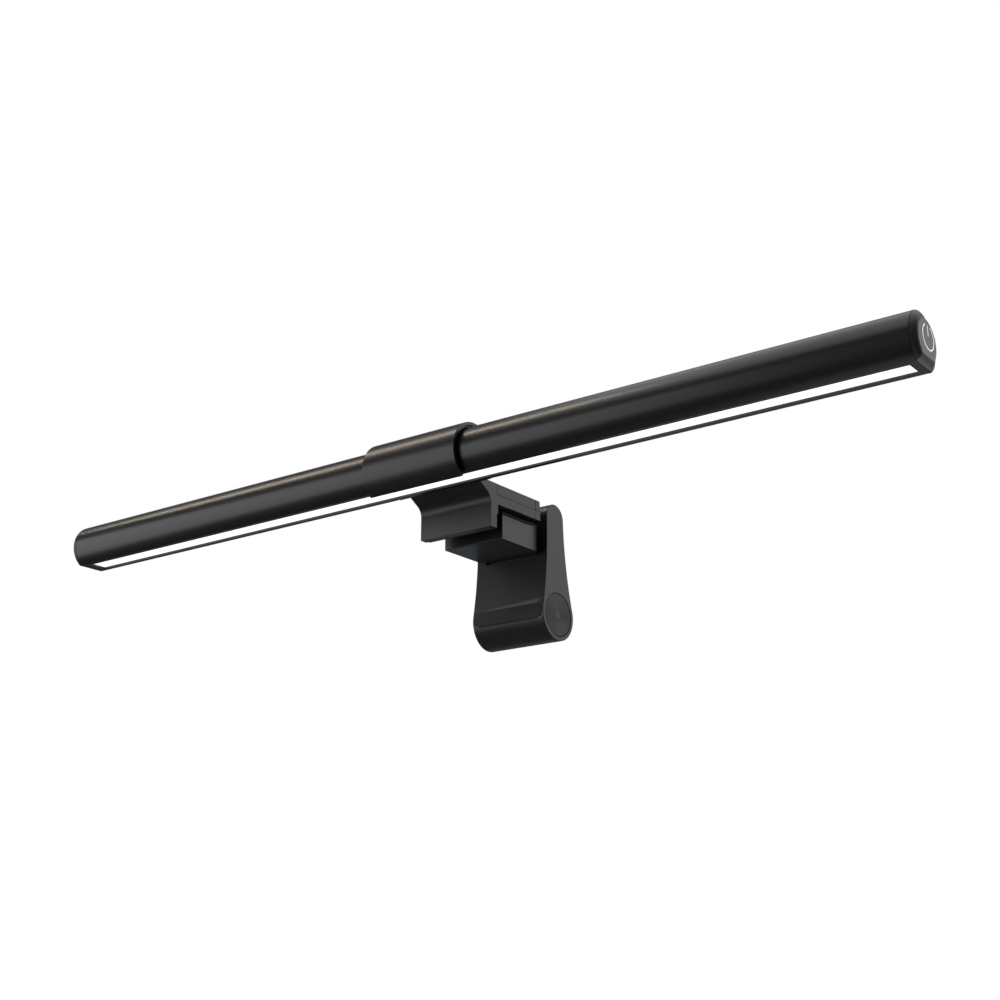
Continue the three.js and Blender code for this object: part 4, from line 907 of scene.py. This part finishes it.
pad_outline = [
    (inlay_low.y, inlay_low.z),
    (ramp_foot - GAP, inlay_low.z),
    (inlay_high.y, inlay_high.z - 0.05 * MM),
    (inlay_high.y, inlay_high.z),
    (inlay_low.y, inlay_high.z),
]
inlay = prism("block_inlay", pad_outline, inlay_low.x, inlay_high.x)
soften(inlay, 0.12 * MM)
give(inlay, rubber, "rear_clamp", "silicone_black", "block_pad")

# ---------------------------------------------------------------- screws
# Every joint is closed by pairs of M2 countersunk screws with a hexagon socket, in zinc-plated steel.
# Each row turns one screw of its own length and sets it out twice.
HEAD = 1.75 * MM
SHANK = 0.95 * MM
SOCKET = 0.8 * MM
SOCKET_DEPTH = 0.5 * MM


def stand(piece):
    """Turns a solid made along X so that it runs along Z."""
    piece.data.transform(Matrix(((0, 1, 0, 0), (0, 0, 1, 0), (1, 0, 0, 0), (0, 0, 0, 1))))
    return piece


def one_screw(length):
    """A screw with its head at the origin, pointing along -Z."""
    profile = [(SHANK * 0.6, -length), (SHANK, -length + 0.5 * MM), (SHANK, -MM)]
    profile += [(HEAD - 0.05 * MM, -0.2 * MM), (HEAD, -0.12 * MM)]
    profile += [(HEAD - 0.02 * MM, -0.03 * MM), (HEAD - 0.1 * MM, 0)]
    made = stand(loft("screw", [(z, circle((0, 0), radius, 32)) for radius, z in profile]))
    socket = stand(prism("socket", circle((0, 0), SOCKET, 6), -SOCKET_DEPTH, SOCKET_DEPTH))
    combine("DIFFERENCE", made, socket)
    return shade(made)


def screw_row_tree():
    """Geometry nodes that set one screw out in a row: its start, the step to the next, and its turn."""
    tree = bpy.data.node_groups.new("screw_row", "GeometryNodeTree")
    kinds = {"Screw": "Object", "Count": "Int", "Start": "Vector", "Step": "Vector", "Turn": "Vector"}
    for name, kind in {**kinds, "Steel": "Material"}.items():
        tree.interface.new_socket(name, in_out="INPUT", socket_type="NodeSocket" + kind)
    tree.interface.new_socket("Row", in_out="OUTPUT", socket_type="NodeSocketGeometry")
    given = tree.nodes.new("NodeGroupInput")
    result = tree.nodes.new("NodeGroupOutput")
    line = tree.nodes.new("GeometryNodeMeshLine")
    info = tree.nodes.new("GeometryNodeObjectInfo")
    spread = tree.nodes.new("GeometryNodeInstanceOnPoints")
    real = tree.nodes.new("GeometryNodeRealizeInstances")
    coat = tree.nodes.new("GeometryNodeSetMaterial")
    wires = (
        (given.outputs["Screw"], info.inputs["Object"]),
        (given.outputs["Count"], line.inputs["Count"]),
        (given.outputs["Start"], line.inputs["Start Location"]),
        (given.outputs["Step"], line.inputs["Offset"]),
        (line.outputs["Mesh"], spread.inputs["Points"]),
        (info.outputs["Geometry"], spread.inputs["Instance"]),
        (given.outputs["Turn"], spread.inputs["Rotation"]),
        (spread.outputs["Instances"], real.inputs["Geometry"]),
        (real.outputs["Geometry"], coat.inputs["Geometry"]),
        (given.outputs["Steel"], coat.inputs["Material"]),
        (coat.outputs["Geometry"], result.inputs["Row"]),
    )
    for source, target in wires:
        tree.links.new(source, target)
    return tree


ROW = screw_row_tree()


def screw_row(name, body, nodes, length, turn, head_at):
    """Sets out the screws that stand for these CAD nodes. head_at picks a head's centre from its box."""
    heads = [head_at(*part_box(node)) for node in nodes]
    screw = one_screw(length)
    holder = bpy.data.objects.new(name, bpy.data.meshes.new(name))
    bpy.context.scene.collection.objects.link(holder)
    row = holder.modifiers.new("row", "NODES")
    row.node_group = ROW
    sockets = {item.name: item.identifier for item in ROW.interface.items_tree if item.in_out == "INPUT"}
    step = heads[1] - heads[0]
    values = {"Screw": screw, "Count": len(heads), "Start": heads[0], "Step": step, "Turn": turn}
    values["Steel"] = zinc
    for key, value in values.items():
        row[sockets[key]] = value
    settle(holder)
    bpy.data.objects.remove(screw)
    give(holder, zinc, body, "steel", *nodes)


def middle(low, high, **fixed):
    centre = (low + high) / 2
    for axis, value in fixed.items():
        setattr(centre, axis, value)
    return centre


FACING_DOWN = Euler((math.pi, 0, 0))
FACING_BACK = Euler((-math.pi / 2, 0, 0))
cover_screws = ("cover_screw_front", "cover_screw_rear")
screw_row("cover_screws", "bracket", cover_screws, 6 * MM, FACING_DOWN, lambda a, b: middle(a, b, z=a.z))
back_rows = (
    ("hinge_end_screws", "bracket", ("hinge_end_screw_left", "hinge_end_screw_right"), 14 * MM),
    ("leg_door_screws", "rear_clamp", door_screws, 7.6 * MM),
    ("block_screws", "rear_clamp", ("block_screw_left", "block_screw_right"), 5.6 * MM),
)
for name, body, nodes, length in back_rows:
    screw_row(name, body, nodes, length, FACING_BACK, lambda a, b: middle(a, b, y=b.y))
dress(zinc, "collar_screw_left", "collar_screw_right", "right_cap_screw_front", "right_cap_screw_rear")
